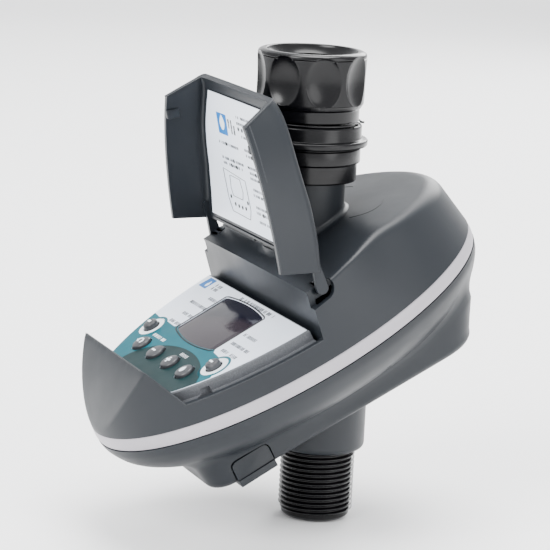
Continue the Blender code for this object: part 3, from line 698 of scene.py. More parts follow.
def lathe(name: str, profile: Outline, axis: Vector = UP, origin: Vector = Vector((0, 0, 0)), seg: int = 96,
          shape: Callable[[float, float, float], float] | None = None) -> bpy.types.Object:
    """Turn a closed (radius, height) outline about an axis.

    Args:
        name: the piece's name.
        profile: the outline, in millimetres.
        axis: direction of the axis.
        origin: a point on the axis, in world millimetres.
        seg: facets round the piece.
        shape: optional rule from (angle, radius, height) to a new radius.

    Returns:
        The closed turned object.
    """
    bm = bmesh.new()
    turn = UP.rotation_difference(axis).to_matrix()
    rings = []
    for r, h in profile:
        if r < 1e-6:
            rings.append([bm.verts.new(turn @ Vector((0, 0, h)) + origin)])
            continue
        ring = []
        for i in range(seg):
            a = 2 * math.pi * i / seg
            reach = shape(a, r, h) if shape else r
            ring.append(bm.verts.new(turn @ Vector((reach * math.cos(a), reach * math.sin(a), h)) + origin))
        rings.append(ring)
    for low, high in zip(rings, rings[1:] + rings[:1]):
        for i in range(seg):
            j = (i + 1) % seg
            quad = [low[i % len(low)], low[j % len(low)], high[j % len(high)], high[i % len(high)]]
            face = list(dict.fromkeys(quad))
            if len(face) > 2:
                bm.faces.new(face)
    return finish_mesh(name, bm)


def rod(radius: float, low: float, high: float, origin: Vector = Vector((0, 0, 0)), axis: Vector = UP,
        seg: int = 48, name: str = "tool") -> bpy.types.Object:
    """A plain cylinder between two heights on its axis."""
    return lathe(name, [(0, low), (radius, low), (radius, high), (0, high)], axis, origin, seg)


def prism(outline: Outline, x0: float, x1: float, name: str = "tool") -> bpy.types.Object:
    """Push an (s, n) outline across the case from x0 to x1.

    Args:
        outline: corner points in millimetres.
        x0: where it starts across the case.
        x1: where it ends across the case.
        name: name of the new one.

    Returns:
        The closed solid.
    """
    bm = bmesh.new()
    skin(bm, [[CASE_SHAPE.place(x, s, n) for s, n in outline] for x in (x0, x1)])
    return finish_mesh(name, bm)


def plate(outline: Outline, n0: float, n1: float, name: str = "tool") -> bpy.types.Object:
    """Push an (x, s) outline square to the band from n0 to n1.

    Args:
        outline: corner points in millimetres.
        n0: its lower height.
        n1: its upper height.
        name: name of the new one.

    Returns:
        The closed solid.
    """
    bm = bmesh.new()
    skin(bm, [[CASE_SHAPE.place(x, s, n) for x, s in outline] for n in (n0, n1)])
    return finish_mesh(name, bm)


def joined(tools: Sequence[bpy.types.Object]) -> bpy.types.Object:
    """Make one tool of several that don't touch each other.

    Args:
        tools: the shapes, which are used up.

    Returns:
        The one object.
    """
    bm = bmesh.new()
    for tool in tools:
        bm.from_mesh(tool.data)
        bpy.data.objects.remove(tool)
    mesh = bpy.data.meshes.new("tool")
    bm.to_mesh(mesh)
    bm.free()
    obj = bpy.data.objects.new("tool", mesh)
    bpy.context.scene.collection.objects.link(obj)
    return obj


def baked(obj: bpy.types.Object) -> bpy.types.Object:
    """Apply an object's modifiers to its mesh.

    Args:
        obj: the piece.

    Returns:
        The same object with its final mesh.
    """
    deps = bpy.context.evaluated_depsgraph_get()
    mesh = bpy.data.meshes.new_from_object(obj.evaluated_get(deps))
    old = obj.data
    obj.modifiers.clear()
    obj.data = mesh
    mesh.name = obj.name
    if old.users == 0:
        bpy.data.meshes.remove(old)
    return obj


def combine(obj: bpy.types.Object, steps: Sequence[tuple[str, bpy.types.Object]],
            angle: float = 35.0) -> bpy.types.Object:
    """Apply exact Booleans in order and drop the tools.

    Args:
        obj: the body that is cut and added to.
        steps: (operation, tool) pairs.
        angle: edges sharper than this stay crisp.

    Returns:
        The same object with its new mesh.
    """
    for kind, tool in steps:
        mod = obj.modifiers.new(kind.lower(), "BOOLEAN")
        mod.operation = kind
        mod.solver = "EXACT"
        mod.object = tool
        baked(obj)
        bpy.data.objects.remove(tool)
    bm = bmesh.new()
    bm.from_mesh(obj.data)
    bmesh.ops.remove_doubles(bm, verts=bm.verts, dist=2.0e-6)
    bmesh.ops.dissolve_degenerate(bm, edges=bm.edges, dist=1.0e-6)
    bm.to_mesh(obj.data)
    bm.free()
    shade(obj, angle)
    return obj


def bevelled(obj: bpy.types.Object, width: float, steps: int = 2, limit: float = 40.0) -> bpy.types.Object:
    """Ease the sharp edges of a plain solid by width millimetres.

    Args:
        obj: the piece.
        width: how wide the eased edge is.
        steps: faces across the eased edge.
        limit: sharpest angle in degrees left alone.

    Returns:
        The same object, eased.
    """
    mod = obj.modifiers.new("ease", "BEVEL")
    mod.width = width * MM
    mod.segments = steps
    mod.limit_method = "ANGLE"
    mod.angle_limit = math.radians(limit)
    baked(obj)
    shade(obj, 50.0)
    return obj


def circle(cx: float, cs: float, radius: float, seg: int = 40) -> list[tuple[float, float]]:
    """Circle outline in (x, s)."""
    return [(cx + radius * math.cos(2 * math.pi * i / seg), cs + radius * math.sin(2 * math.pi * i / seg))
            for i in range(seg)]


def rounded_rect(cx: float, cs: float, wide: float, high: float, radius: float,
                 seg: int = 5) -> list[tuple[float, float]]:
    """Rounded rectangle outline in (x, s).

    Args:
        cx: its middle across the case.
        cs: its middle along the case.
        wide: size across the case.
        high: size along the case.
        radius: radius in millimetres.
        seg: points in each round stretch.

    Returns:
        The (x, s) points.
    """
    points = []
    for qx, qs, start in ((1, 1, 0), (-1, 1, 90), (-1, -1, 180), (1, -1, 270)):
        for k in range(seg + 1):
            a = math.radians(start + 90.0 * k / seg)
            points.append((cx + qx * (wide / 2 - radius) + radius * math.cos(a),
                           cs + qs * (high / 2 - radius) + radius * math.sin(a)))
    return points


def dress(obj: bpy.types.Object, finish: str) -> bpy.types.Object:
    """Give a piece one finish in place of whatever it has.

    Args:
        obj: the piece.
        finish: the finish's name.

    Returns:
        The same piece.
    """
    obj.data.materials.clear()
    obj.data.materials.append(FINISHES.get(finish))
    obj.data.polygons.foreach_set("material_index", [0] * len(obj.data.polygons))
    return obj


def settle(obj: bpy.types.Object, name: str, finish: str, body: Body | str, slot: Slot,
           *stands_for: str) -> bpy.types.Object:
    """Name, dress and hand a finished piece to the frame.

    Args:
        obj: the piece, in place in the world.
        name: the piece's name.
        finish: the finish's name.
        body: the frame body that it rides on.
        slot: the record slot that it stands in; not used.
        stands_for: CAD nodes that it stands for.

    Returns:
        The piece.
    """
    obj.name = name
    obj.data.name = name
    dress(obj, finish)
    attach(obj, body.value if isinstance(body, Body) else body)
    if stands_for:
        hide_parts(*stands_for)
    LOG.info("%s: %d faces, %s", name, len(obj.data.polygons), finish)
    return obj


# ---- rule-made geometry -------------------------------------------------------------------
class Recipe:
    """A Geometry Nodes tree with named inputs that ends in real, dressed geometry."""

    def __init__(self, name: str) -> None:
        """Start a tree with one geometry input and output.

        Args:
            name: name of the new one.
        """
        self.tree = bpy.data.node_groups.new(name, "GeometryNodeTree")
        face = self.tree.interface
        face.new_socket("Geometry", in_out="INPUT", socket_type="NodeSocketGeometry")
        face.new_socket("Geometry", in_out="OUTPUT", socket_type="NodeSocketGeometry")
        self.start = self.tree.nodes.new("NodeGroupInput")
        self.ids: dict[str, str] = {}

    def dial(self, name: str, kind: str = "NodeSocketFloat") -> bpy.types.NodeSocket:
        """Add a named input and return its output inside the tree.

        Args:
            name: the input's name.
            kind: its socket type.

        Returns:
            The input's output inside the tree.
        """
        item = self.tree.interface.new_socket(name, in_out="INPUT", socket_type=kind)
        self.ids[name] = item.identifier
        return self.start.outputs[name]

    def add(self, kind: str, inputs: dict, **settings: object) -> bpy.types.Node:
        """Add a node with its settings, constants and links.

        Args:
            kind: Blender's type name.
            inputs: socket to a constant or to an output.
            settings: attributes of the node itself.

        Returns:
            The new node.
        """
        node = self.tree.nodes.new(kind)
        for key, value in settings.items():
            setattr(node, key, value)
        for key, value in inputs.items():
            socket = node.inputs[key]
            if isinstance(value, bpy.types.NodeSocket):
                self.tree.links.new(value, socket)
            else:
                socket.default_value = value
        return node

    def maths(self, operation: str, one: object, two: object = 0.0) -> bpy.types.NodeSocket:
        """One sum on two values."""
        return self.add("ShaderNodeMath", {0: one, 1: two}, operation=operation).outputs[0]

    def close(self, geometry: bpy.types.NodeSocket) -> "Recipe":
        """Realize the instances, set the finish and end the tree.

        Args:
            geometry: the made geometry.

        Returns:
            The recipe itself.
        """
        real = self.add("GeometryNodeRealizeInstances", {"Geometry": geometry})
        finish = self.dial("Finish", "NodeSocketMaterial")
        dressed = self.add("GeometryNodeSetMaterial", {"Geometry": real.outputs[0], "Material": finish})
        end = self.tree.nodes.new("NodeGroupOutput")
        self.tree.links.new(dressed.outputs[0], end.inputs[0])
        return self

    def run(self, obj: bpy.types.Object, finish: str, **values: object) -> bpy.types.Object:
        """Apply the tree to an object and keep the result as a plain mesh.

        Args:
            obj: the object whose mesh is the tree's input.
            finish: the finish's name.
            values: input name (with _ for a space) to value.

        Returns:
            The object with the made mesh.
        """
        mod = obj.modifiers.new("recipe", "NODES")
        mod.node_group = self.tree
        mod[self.ids["Finish"]] = FINISHES.get(finish)
        for key, value in values.items():
            mod[self.ids[key.replace("_", " ")]] = value
        baked(obj)
        shade(obj, 40.0)
        return obj


def path_object(points: Sequence[Sequence[Vector]], ring: bool = False) -> bpy.types.Object:
    """Wire mesh of one or more paths given in world millimetres.

    Args:
        points: the paths, each a row of world points.
        ring: whether each path joins its own start.

    Returns:
        The wire object.
    """
    mesh = bpy.data.meshes.new("path")
    verts: list[Vector] = []
    edges = []
    for path in points:
        first = len(verts)
        verts += [p * MM for p in path]
        edges += [(first + k, first + k + 1) for k in range(len(path) - 1)]
        if ring:
            edges.append((len(verts) - 1, first))
    mesh.from_pydata(verts, edges, [])
    obj = bpy.data.objects.new("path", mesh)
    bpy.context.scene.collection.objects.link(obj)
    return obj


def bead_recipe() -> Recipe:
    """A round bead that follows every path of the input wire.

    Returns:
        The closed recipe.
    """
    recipe = Recipe("bead_along_path")
    radius = recipe.dial("Bead radius")
    sides = recipe.dial("Sides", "NodeSocketInt")
    curve = recipe.add("GeometryNodeMeshToCurve", {"Mesh": recipe.start.outputs["Geometry"]})
    ring = recipe.add("GeometryNodeCurvePrimitiveCircle", {"Resolution": sides, "Radius": radius})
    tube = recipe.add("GeometryNodeCurveToMesh", {"Curve": curve.outputs[0], "Profile Curve": ring.outputs[0],
                                                  "Fill Caps": True})
    return recipe.close(tube.outputs[0])


def glyph_recipe() -> Recipe:
    """Short printed marks of uneven width set along every path of the input wire.

    Returns:
        The closed recipe.
    """
    recipe = Recipe("printed_marks")
    pitch = recipe.dial("Pitch")
    tall = recipe.dial("Height")
    thick = recipe.dial("Thickness")
    normal = recipe.dial("Face", "NodeSocketVector")
    seed = recipe.dial("Seed", "NodeSocketInt")
    curve = recipe.add("GeometryNodeMeshToCurve", {"Mesh": recipe.start.outputs["Geometry"]})
    points = recipe.add("GeometryNodeCurveToPoints", {"Curve": curve.outputs[0], "Length": pitch},
                        mode="LENGTH")
    mark = recipe.add("GeometryNodeMeshCube", {})
    wide = recipe.maths("MULTIPLY", pitch, 0.62)
    size = recipe.add("ShaderNodeCombineXYZ", {"X": wide, "Y": tall, "Z": thick})
    recipe.tree.links.new(size.outputs[0], mark.inputs["Size"])
    flat = recipe.add("FunctionNodeAlignRotationToVector", {"Vector": normal}, axis="Z")
    turn = recipe.add("FunctionNodeAlignRotationToVector",
                      {"Rotation": flat.outputs[0], "Vector": points.outputs["Tangent"]}, axis="X",
                      pivot_axis="Z")
    wide = recipe.add("FunctionNodeRandomValue", {2: 0.45, 3: 1.25, "Seed": seed}, data_type="FLOAT")
    drop = recipe.add("FunctionNodeRandomValue", {"Probability": 0.86, "Seed": seed}, data_type="BOOLEAN")
    scale = recipe.add("ShaderNodeCombineXYZ", {"X": wide.outputs[1], "Y": 1.0, "Z": 1.0})
    placed = recipe.add("GeometryNodeInstanceOnPoints",
                        {"Points": points.outputs[0], "Instance": mark.outputs[0],
                          "Rotation": turn.outputs[0],
                         "Scale": scale.outputs[0], "Selection": drop.outputs[3]})
    return recipe.close(placed.outputs[0])


def thread_recipe() -> Recipe:
    """A right-handed outside thread with a plain chamfered end below it.

    Returns:
        The closed recipe.
    """
    recipe = Recipe("hose_thread")
    crest = recipe.dial("Crest radius")
    depth = recipe.dial("Depth")
    pitch = recipe.dial("Pitch")
    length = recipe.dial("Length")
    rim = recipe.dial("Rim radius")
    plain = recipe.dial("Plain end")
    body = recipe.add("GeometryNodeMeshCylinder",
                      {"Vertices": 120, "Side Segments": 260, "Radius": 0.01, "Depth": length})
    where = recipe.add("ShaderNodeSeparateXYZ", {0: recipe.add("GeometryNodeInputPosition", {}).outputs[0]})
    angle = recipe.maths("DIVIDE", recipe.maths("ARCTAN2", where.outputs[1], where.outputs[0]), 2 * math.pi)
    turns = recipe.maths("SUBTRACT", recipe.maths("DIVIDE", where.outputs[2], pitch), angle)
    saw = recipe.maths("FRACT", turns)
    wave = recipe.maths("ABSOLUTE", recipe.maths("SUBTRACT", recipe.maths("MULTIPLY", saw, 2.0), 1.0))
    hill = recipe.add("ShaderNodeMapRange", {"Value": wave, "From Min": 0.12, "From Max": 0.86, "To Min": 0.0,
                                             "To Max": 1.0}, interpolation_type="SMOOTHSTEP").outputs[0]
    threaded = recipe.maths("SUBTRACT", crest, recipe.maths("MULTIPLY", hill, depth))
    rise = recipe.maths("ADD", where.outputs[2], recipe.maths("MULTIPLY", length, 0.5))
    past = recipe.maths("DIVIDE", recipe.maths("SUBTRACT", rise, plain), 0.0012)
    mix = recipe.add("ShaderNodeMapRange", {"Value": past, "From Min": 0.0, "From Max": 1.0, "To Min": rim,
                                            "To Max": threaded}).outputs[0]
    bevel = recipe.maths("ADD", recipe.maths("SUBTRACT", rim, 0.0009), recipe.maths("MULTIPLY", rise, 1.1))
    reach = recipe.maths("MINIMUM", mix, bevel)
    factor = recipe.maths("DIVIDE", reach, 0.01)
    place = recipe.add("ShaderNodeCombineXYZ", {0: recipe.maths("MULTIPLY", where.outputs[0], factor),
                                                1: recipe.maths("MULTIPLY", where.outputs[1], factor),
                                                2: where.outputs[2]})
    moved = recipe.add("GeometryNodeSetPosition", {"Geometry": body.outputs[0], "Position": place.outputs[0]})
    centre = recipe.dial("Centre", "NodeSocketVector")
    put = recipe.add("GeometryNodeTransform", {"Geometry": moved.outputs[0], "Translation": centre})
    return recipe.close(put.outputs[0])


def screw_recipe() -> Recipe:
    """A cross-recess screw at every point of the input, all along one direction.

    Returns:
        The closed recipe.
    """
    recipe = Recipe("case_screws")
    head = recipe.dial("Head radius")
    shank = recipe.dial("Shank radius")
    length = recipe.dial("Length")
    along = recipe.dial("Direction", "NodeSocketVector")
    top = recipe.add("GeometryNodeMeshCylinder", {"Vertices": 40, "Radius": head, "Depth": 0.0018})
    put = recipe.add("GeometryNodeTransform", {"Geometry": top.outputs[0], "Translation": (0.0, 0.0, 0.0009)})
    slots = []
    for size in ((0.0028, 0.0007, 0.0016), (0.0007, 0.0028, 0.0016)):
        slots.append(recipe.add("GeometryNodeMeshCube", {"Size": size}).outputs[0])
    cut = recipe.add("GeometryNodeMeshBoolean", {"Mesh 1": put.outputs[0]}, operation="DIFFERENCE",
                     solver="EXACT")
    for cutter in slots:
        recipe.tree.links.new(cutter, cut.inputs["Mesh 2"])
    core = recipe.add("GeometryNodeMeshCylinder", {"Vertices": 24, "Side Segments": 60, "Radius": shank,
                                                   "Depth": length})
    where = recipe.add("ShaderNodeSeparateXYZ", {0: recipe.add("GeometryNodeInputPosition", {}).outputs[0]})
    angle = recipe.maths("DIVIDE", recipe.maths("ARCTAN2", where.outputs[1], where.outputs[0]), 2 * math.pi)
    turns = recipe.maths("DIVIDE", where.outputs[2], 0.0011)
    saw = recipe.maths("FRACT", recipe.maths("SUBTRACT", turns, angle))
    hill = recipe.maths("ABSOLUTE", recipe.maths("SUBTRACT", recipe.maths("MULTIPLY", saw, 2.0), 1.0))
    factor = recipe.maths("SUBTRACT", 1.0, recipe.maths("MULTIPLY", hill, 0.28))
    place = recipe.add("ShaderNodeCombineXYZ", {0: recipe.maths("MULTIPLY", where.outputs[0], factor),
                                                1: recipe.maths("MULTIPLY", where.outputs[1], factor),
                                                2: where.outputs[2]})
    threaded = recipe.add("GeometryNodeSetPosition", {"Geometry": core.outputs[0],
                                                      "Position": place.outputs[0]})
    half = recipe.maths("MULTIPLY", length, 0.5)
    lift = recipe.add("ShaderNodeCombineXYZ", {2: recipe.maths("ADD", half, 0.0019)})
    low = recipe.add("GeometryNodeTransform", {"Geometry": threaded.outputs[0],
                                               "Translation": lift.outputs[0]})
    both = recipe.add("GeometryNodeJoinGeometry", {})
    recipe.tree.links.new(cut.outputs[0], both.inputs[0])
    recipe.tree.links.new(low.outputs[0], both.inputs[0])
    turn = recipe.add("FunctionNodeAlignRotationToVector", {"Vector": along}, axis="Z")
    placed = recipe.add("GeometryNodeInstanceOnPoints",
                        {"Points": recipe.start.outputs["Geometry"], "Instance": both.outputs[0],
                         "Rotation": turn.outputs[0]})
    return recipe.close(placed.outputs[0])


class RecipeBook:
    """The shared geometry trees, each built once."""

    def __init__(self) -> None:
        """Build the trees."""
        self.bead = bead_recipe()
        self.glyphs = glyph_recipe()
        self.thread = thread_recipe()
        self.screws = screw_recipe()


RECIPES = RecipeBook()


def bead(paths: Sequence[Sequence[Vector]], radius: float, finish: str, ring: bool = False,
         sides: int = 12) -> bpy.types.Object:
    """A bead of the given radius along paths in world millimetres."""
    return RECIPES.bead.run(path_object(paths, ring), finish, Bead_radius=radius * MM, Sides=sides)


# ---- sub-assemblies -----------------------------------------------------------------------
@dataclass
class InletFitting:
    """The black swivel nut, the stepped sleeve below it and the spring ring between them."""

    nut_radius: float = 18.93
    thread_crest: float = 13.25
    thread_root: float = 14.4
    pitch: float = 1.814
    dimples: int = 8
    dimple_turn: float = 35.3
    dimple_centre: float = 19.75
    dimple_size: tuple[float, float, float] = (3.3, 7.9, 9.2)
    dimple_z: float = -9.5
    ring_radius: float = 17.95
    ring_z: float = -24.4

    def hollow(self, angle: float, radius: float, height: float) -> float:
        """Radius of the nut's outside once the finger hollows are scooped out.

        Args:
            angle: angle round the nut.
            radius: radius before scooping.
            height: height on the axis.

        Returns:
            The new radius.
        """
        if radius < 17.0:
            return radius
        step = 2 * math.pi / self.dimples
        turn = (angle - math.radians(self.dimple_turn) + step / 2) % step - step / 2
        deep, wide, high = self.dimple_size
        rise = 1.0 - ((height - self.dimple_z) / high) ** 2
        a = (math.cos(turn) / deep) ** 2 + (math.sin(turn) / wide) ** 2
        b = -2.0 * math.cos(turn) * self.dimple_centre / deep ** 2
        c = (self.dimple_centre / deep) ** 2 - rise
        root = b * b - 4 * a * c
        near = (-b - math.sqrt(root)) / (2 * a) if root > 0.0 else radius + 1.5 - root * 20.0
        near = min(near, radius + 3.0)
        soft = 0.2
        gap = max(soft - abs(radius - near), 0.0) / soft
        return min(radius, near) - gap * gap * soft * 0.25

    def build_nut(self) -> bpy.types.Object:
        """Turn the nut with its grip hollows and inside thread.

        Returns:
            The finished nut.
        """
        inside = []
        z = -11.0
        while z < -3.2:
            inside += [(self.thread_crest, z), (self.thread_root, z + self.pitch / 2)]
            z += self.pitch
        mouth = eased([(15.5, -0.9), (15.8, 0.0), (17.4, 0.0), (18.7, -0.7),
                       (self.nut_radius, -2.0)], 0.5, 4)[4:]
        wall = []
        for k in range(67):
            t = k / 66
            z = -2.0 - 15.6 * t
            wall.append((self.nut_radius - 0.33 * t, z))
        foot = eased([(18.6, -17.6), (17.75, -19.3), (17.25, -19.7), (17.2, -23.75), (11.0, -23.75),
                      (11.0, -20.4),
                      (self.thread_crest, -20.4)], 0.35, 4)[1:]
        rest = [(p, q) for p, q in inside] + [(self.thread_crest, -3.0), (15.4, -1.1)]
        return lathe("swivel_nut_grip", mouth + wall[1:] + foot + rest, seg=384, shape=self.hollow)

    def build_sleeve(self) -> bpy.types.Object:
        """Turn the stepped sleeve with its flange.

        Returns:
            The finished sleeve.
        """
        profile = [(8.3, -16.0), (12.4, -16.0), (12.4, -19.8), (10.4, -19.8), (10.4, -25.0), (18.0, -25.05),
                   (18.45, -25.6), (18.5, -29.9), (20.3, -30.1), (20.7, -30.6), (20.65, -32.0), (20.2, -32.5),
                   (17.7, -32.7), (17.6, -33.2), (18.35, -33.4), (18.4, -38.0), (17.9, -38.4), (17.4, -38.5),
                   (17.36, -44.4), (16.9, -44.8), (14.2, -44.8), (14.2, -40.1), (11.8, -40.1), (11.8, -35.0),
                   (8.3, -35.0)]
        return lathe("inlet_sleeve", eased(profile, 0.25, 3), seg=128)

    def build_spring_ring(self) -> bpy.types.Object:
        """Bend the open spring ring with its two turned-out ears.

        Returns:
            The finished ring.
        """
        points = []
        count = 150
        for k in range(count + 1):
            a = math.radians(66.0 + 332.0 * k / count)
            reach = self.ring_radius
            points.append(Vector((reach * math.cos(a), reach * math.sin(a), self.ring_z)))
        for sign, end in ((1, 66.0), (-1, 398.0)):
            a = math.radians(end)
            out = [Vector(((self.ring_radius + d) * math.cos(a - sign * d * 0.02),
                           (self.ring_radius + d) * math.sin(a - sign * d * 0.02), self.ring_z))
                   for d in (0.3, 0.7, 1.1)]
            points = list(reversed(out)) + points if sign > 0 else points + out
        return bead([points], 0.38, "nylon_gloss")

    def build(self) -> None:
        """Build and place every piece."""
        settle(self.build_nut(), "swivel_nut_grip", "nylon_gloss", Body.NUT, Slot.FITTING, "swivel_nut")
        settle(self.build_sleeve(), "inlet_sleeve", "nylon_gloss", Body.CASE, Slot.FITTING, "inlet_adapter")
        settle(self.build_spring_ring(), "spring_ring", "nylon_gloss", Body.CASE, Slot.STEEL, "snap_ring")


@dataclass
class UpperCase:
    """The upper shell: leaning wall, ridge, crowned top, neck, display recess and nose lip."""

    around: int = 160
    neck_radius: float = 13.7
    neck_seg: int = 120
    hinge_hole: float = 4.0
    lip_foot: float = -59.4
    screws: tuple[tuple[float, float], ...] = ((36.0, 8.0), (-36.0, 8.0), (17.0, 40.0), (-17.0, 40.0))

    def column(self, theta: float, inset: float, wall_steps: int, ridge_steps: int,
               top_steps: int) -> list[tuple[float, float, float]]:
        """Points from the band up the wall, over the ridge and across the top to the middle.

        Args:
            theta: angle round the band outline.
            inset: how far inside the outer surface the column lies.
            wall_steps: points up the wall.
            ridge_steps: points round the ridge.
            top_steps: points across the top.

        Returns:
            The points in case coordinates.
        """
        shape = CASE_SHAPE
        x0, s0 = shape.rim(theta, inset)
        reach = math.hypot(x0, s0 - shape.middle)

        def at(inward: float) -> tuple[float, float]:
            """Point (x, s) a share g of the way out to the band."""
            g = 1.0 - inward / reach
            return x0 * g, shape.middle + (s0 - shape.middle) * g

        def roof(inward: float) -> float:
            """Height of the skin under the top surface.

            Args:
                inward: how far in from the band.

            Returns:
                The height.
            """
            x, s = at(inward)
            slope = (shape.top(s + 1.0) - shape.top(s - 1.0)) / 2.0
            return max(shape.top(s, x) - inset * math.sqrt(1.0 + slope * slope), 0.8)

        tip = roof(0.0)
        lean = shape.LEAN(s0)
        for _ in range(10):
            tip = roof(lean * tip)
        cut = min(shape.RIDGE(s0), 0.42 * tip)
        down = (lean * (tip - cut), tip - cut)
        corner = (lean * tip, tip)
        inner = lean * tip + cut
        over = (inner, roof(inner))
        line = [(down[0] * k / wall_steps, down[1] * k / wall_steps) for k in range(wall_steps)]
        for k in range(ridge_steps + 1):
            t = k / ridge_steps
            line.append(tuple(down[i] * (1 - t) ** 2 + 2 * corner[i] * t * (1 - t) + over[i] * t * t
                              for i in (0, 1)))
        for k in range(1, top_steps + 1):
            inward = inner + (reach * 0.97 - inner) * (k / top_steps) ** 1.25
            line.append((inward, roof(inward)))
        return [(*at(inward), n) for inward, n in line]

    def sheet(self, bm: bmesh.types.BMesh, inset: float, counts: tuple[int, int, int]) -> list:
        """Add one skin of the shell and return its rings.

        Args:
            bm: the mesh being made.
            inset: how far it is drawn in.
            counts: points in each stretch.

        Returns:
            The rings of mesh points.
        """
        columns = [self.column(2 * math.pi * k / self.around, inset, *counts) for k in range(self.around)]
        rings = [[CASE_SHAPE.place(*column[i]) for column in columns] for i in range(len(columns[0]))]
        made = skin(bm, rings, caps=False)
        mid = CASE_SHAPE.middle
        fan(bm, made[-1], CASE_SHAPE.place(0.0, mid, CASE_SHAPE.top(mid) - inset))
        return made

    def shell(self) -> bpy.types.Object:
        """Outer and inner skins joined along the band.

        Returns:
            The closed shell.
        """
        bm = bmesh.new()
        outer = self.sheet(bm, 0.0, (7, 8, 26))
        inner = self.sheet(bm, CASE_SHAPE.wall, (4, 4, 10))
        for i in range(self.around):
            j = (i + 1) % self.around
            bm.faces.new((outer[0][i], outer[0][j], inner[0][j], inner[0][i]))
        return finish_mesh("case_top", bm)

    def neck(self) -> bpy.types.Object:
        """Upright neck with a flare that runs out on the sloping top.

        Returns:
            The closed neck.
        """
        bm = bmesh.new()
        turn = [2 * math.pi * i / self.neck_seg for i in range(self.neck_seg)]
        loops = []
        flare = [(1.0, -0.8)]
        for k in range(15):
            a = math.radians(90.0 * k / 14)
            flare.append((1.0 - math.sin(a), 1.0 - math.cos(a)))
        for out, rise in flare:
            loop = []
            for a in turn:
                front = max(0.0, -math.sin(a))
                reach = 2.4 + 2.8 * front * abs(math.cos(a)) - 1.6 * front ** 6
                wide = self.neck_radius + reach * out
                x, y = wide * math.cos(a), wide * math.sin(a)
                loop.append(Vector((x, y, CASE_SHAPE.world_top(x, y) + reach * rise - 0.12)))
            loops.append(loop)
        loops.append([Vector((self.neck_radius * math.cos(a), self.neck_radius * math.sin(a), -40.5))
                      for a in turn])
        skin(bm, loops)
        return finish_mesh("tool", bm)

    def flat(self) -> bpy.types.Object:
        """Cutter for the flat in front of the neck that the open lid leans past.

        Returns:
            The cutter.
        """
        bm = bmesh.new()
        bmesh.ops.create_cube(bm, size=1.0)
        bm.transform(Matrix.Translation((0.0, -17.85, -61.0)) @ Matrix.Diagonal((30.0, 10.0, 16.6, 1.0)))
        return finish_mesh("tool", bm)

    def build_shell(self) -> bpy.types.Object:
        """Cut and add everything that makes the finished shell.

        Returns:
            The finished shell.
        """
        shape = CASE_SHAPE
        pivot = shape.hinge()
        wall = [(-10.9, 4.2), (-10.9, 7.5), (-13.0, 7.5), (-13.0, 23.0), (-6.3, 23.2), (-6.3, 20.5),
                (-9.7, 4.2)]
        lug = [(-7.4, 23.4), (-7.4, 19.6), (-2.0, 19.6), (-0.2, 21.4), (-0.2, 24.2)]
        opening = [(-10.9, shape.ledge), (self.lip_foot, shape.ledge), (-66.0, 22.6), (-71.8, 36.0),
                   (-8.3, 36.0),
                   (-8.3, 22.0)]
        mouth = [(-3.0, 18.6), (-12.0, 17.6), (-12.0, 31.0), (-3.0, 31.0)]
        holes = [rod(self.hinge_hole, lo, hi, pivot, ACROSS) for lo, hi in ((46.7, 56.0), (-56.0, -46.7))]
        pins = [rod(1.35, lo, hi, pivot, ACROSS, 24) for lo, hi in ((42.0, 47.5), (-47.5, -42.0))]
        posts = [plate(circle(x, s, 3.4, 24), 1.6, shape.top(s, x) - 1.0) for x, s in self.screws]
        bores = [plate(circle(x, s, 1.5, 16), -2.0, 12.0) for x, s in self.screws]
        steps = [("UNION", self.neck()),
                 ("DIFFERENCE", rod(11.7, -80.0, -39.0, seg=72)),
                 ("UNION", prism(wall, -48.9, 48.9)),
                 ("DIFFERENCE", self.flat()),
                 ("UNION", joined([prism(lug, lo, hi) for lo, hi in ((43.0, 46.4), (-46.4, -43.0))])),
                 ("DIFFERENCE", prism(opening, -60.0, 60.0)),
                 ("DIFFERENCE", joined(holes)),
                 ("DIFFERENCE", joined([prism(mouth, lo, hi) for lo, hi in ((46.7, 56.0), (-56.0, -46.7))])),
                 ("DIFFERENCE", joined(pins)),
                 ("UNION", joined(posts)),
                 ("DIFFERENCE", joined(bores))]
        return combine(self.shell(), steps, 32.0)

    def lip_line(self) -> list[Vector]:
        """The nose lip's edge, from the right ledge over the arch to the left one.

        Returns:
            The edge as world points.
        """
        shape = CASE_SHAPE
        half: list[Vector] = []
        slant = (22.6 - shape.ledge) / (-66.0 - self.lip_foot)

        def s_at(n: float) -> float:
            """Place along the case."""
            return self.lip_foot + (n - shape.ledge) / slant

        tip = 22.0
        for _ in range(12):
            s = s_at(tip)
            tip = shape.top(s, shape.half_width(s, shape.LEAN(s) * tip))
        cut = shape.RIDGE(s_at(tip))
        for k in range(15):
            n = shape.ledge + (tip - cut - shape.ledge) * k / 14
            s = s_at(n)
            half.append(shape.place(shape.half_width(s, shape.LEAN(s) * n) - 0.22, s, n))
        s_tip = s_at(tip)
        x_tip = shape.half_width(s_tip, shape.LEAN(s_tip) * tip)
        for k in range(1, 16):
            x = (x_tip - cut) * (1.0 - k / 15.0)
            s = s_tip
            for _ in range(4):
                s = s_at(shape.top(s, x))
            half.append(shape.place(x, s, shape.top(s, x) - 0.22))
        other = [Vector((-p.x, p.y, p.z)) for p in reversed(half[:-1])]
        return half + other

    def ledge_lines(self) -> list[list[Vector]]:
        """The recess's two side edges.

        Returns:
            The two edges as world points.
        """
        shape = CASE_SHAPE
        lines = []
        for side in (1.0, -1.0):
            line = []
            for k in range(41):
                s = self.lip_foot + (-11.2 - self.lip_foot) * k / 40
                x = shape.half_width(s, shape.LEAN(s) * shape.ledge) - 0.2
                line.append(shape.place(side * x, s, shape.ledge - 0.16))
            lines.append(line)
        return lines

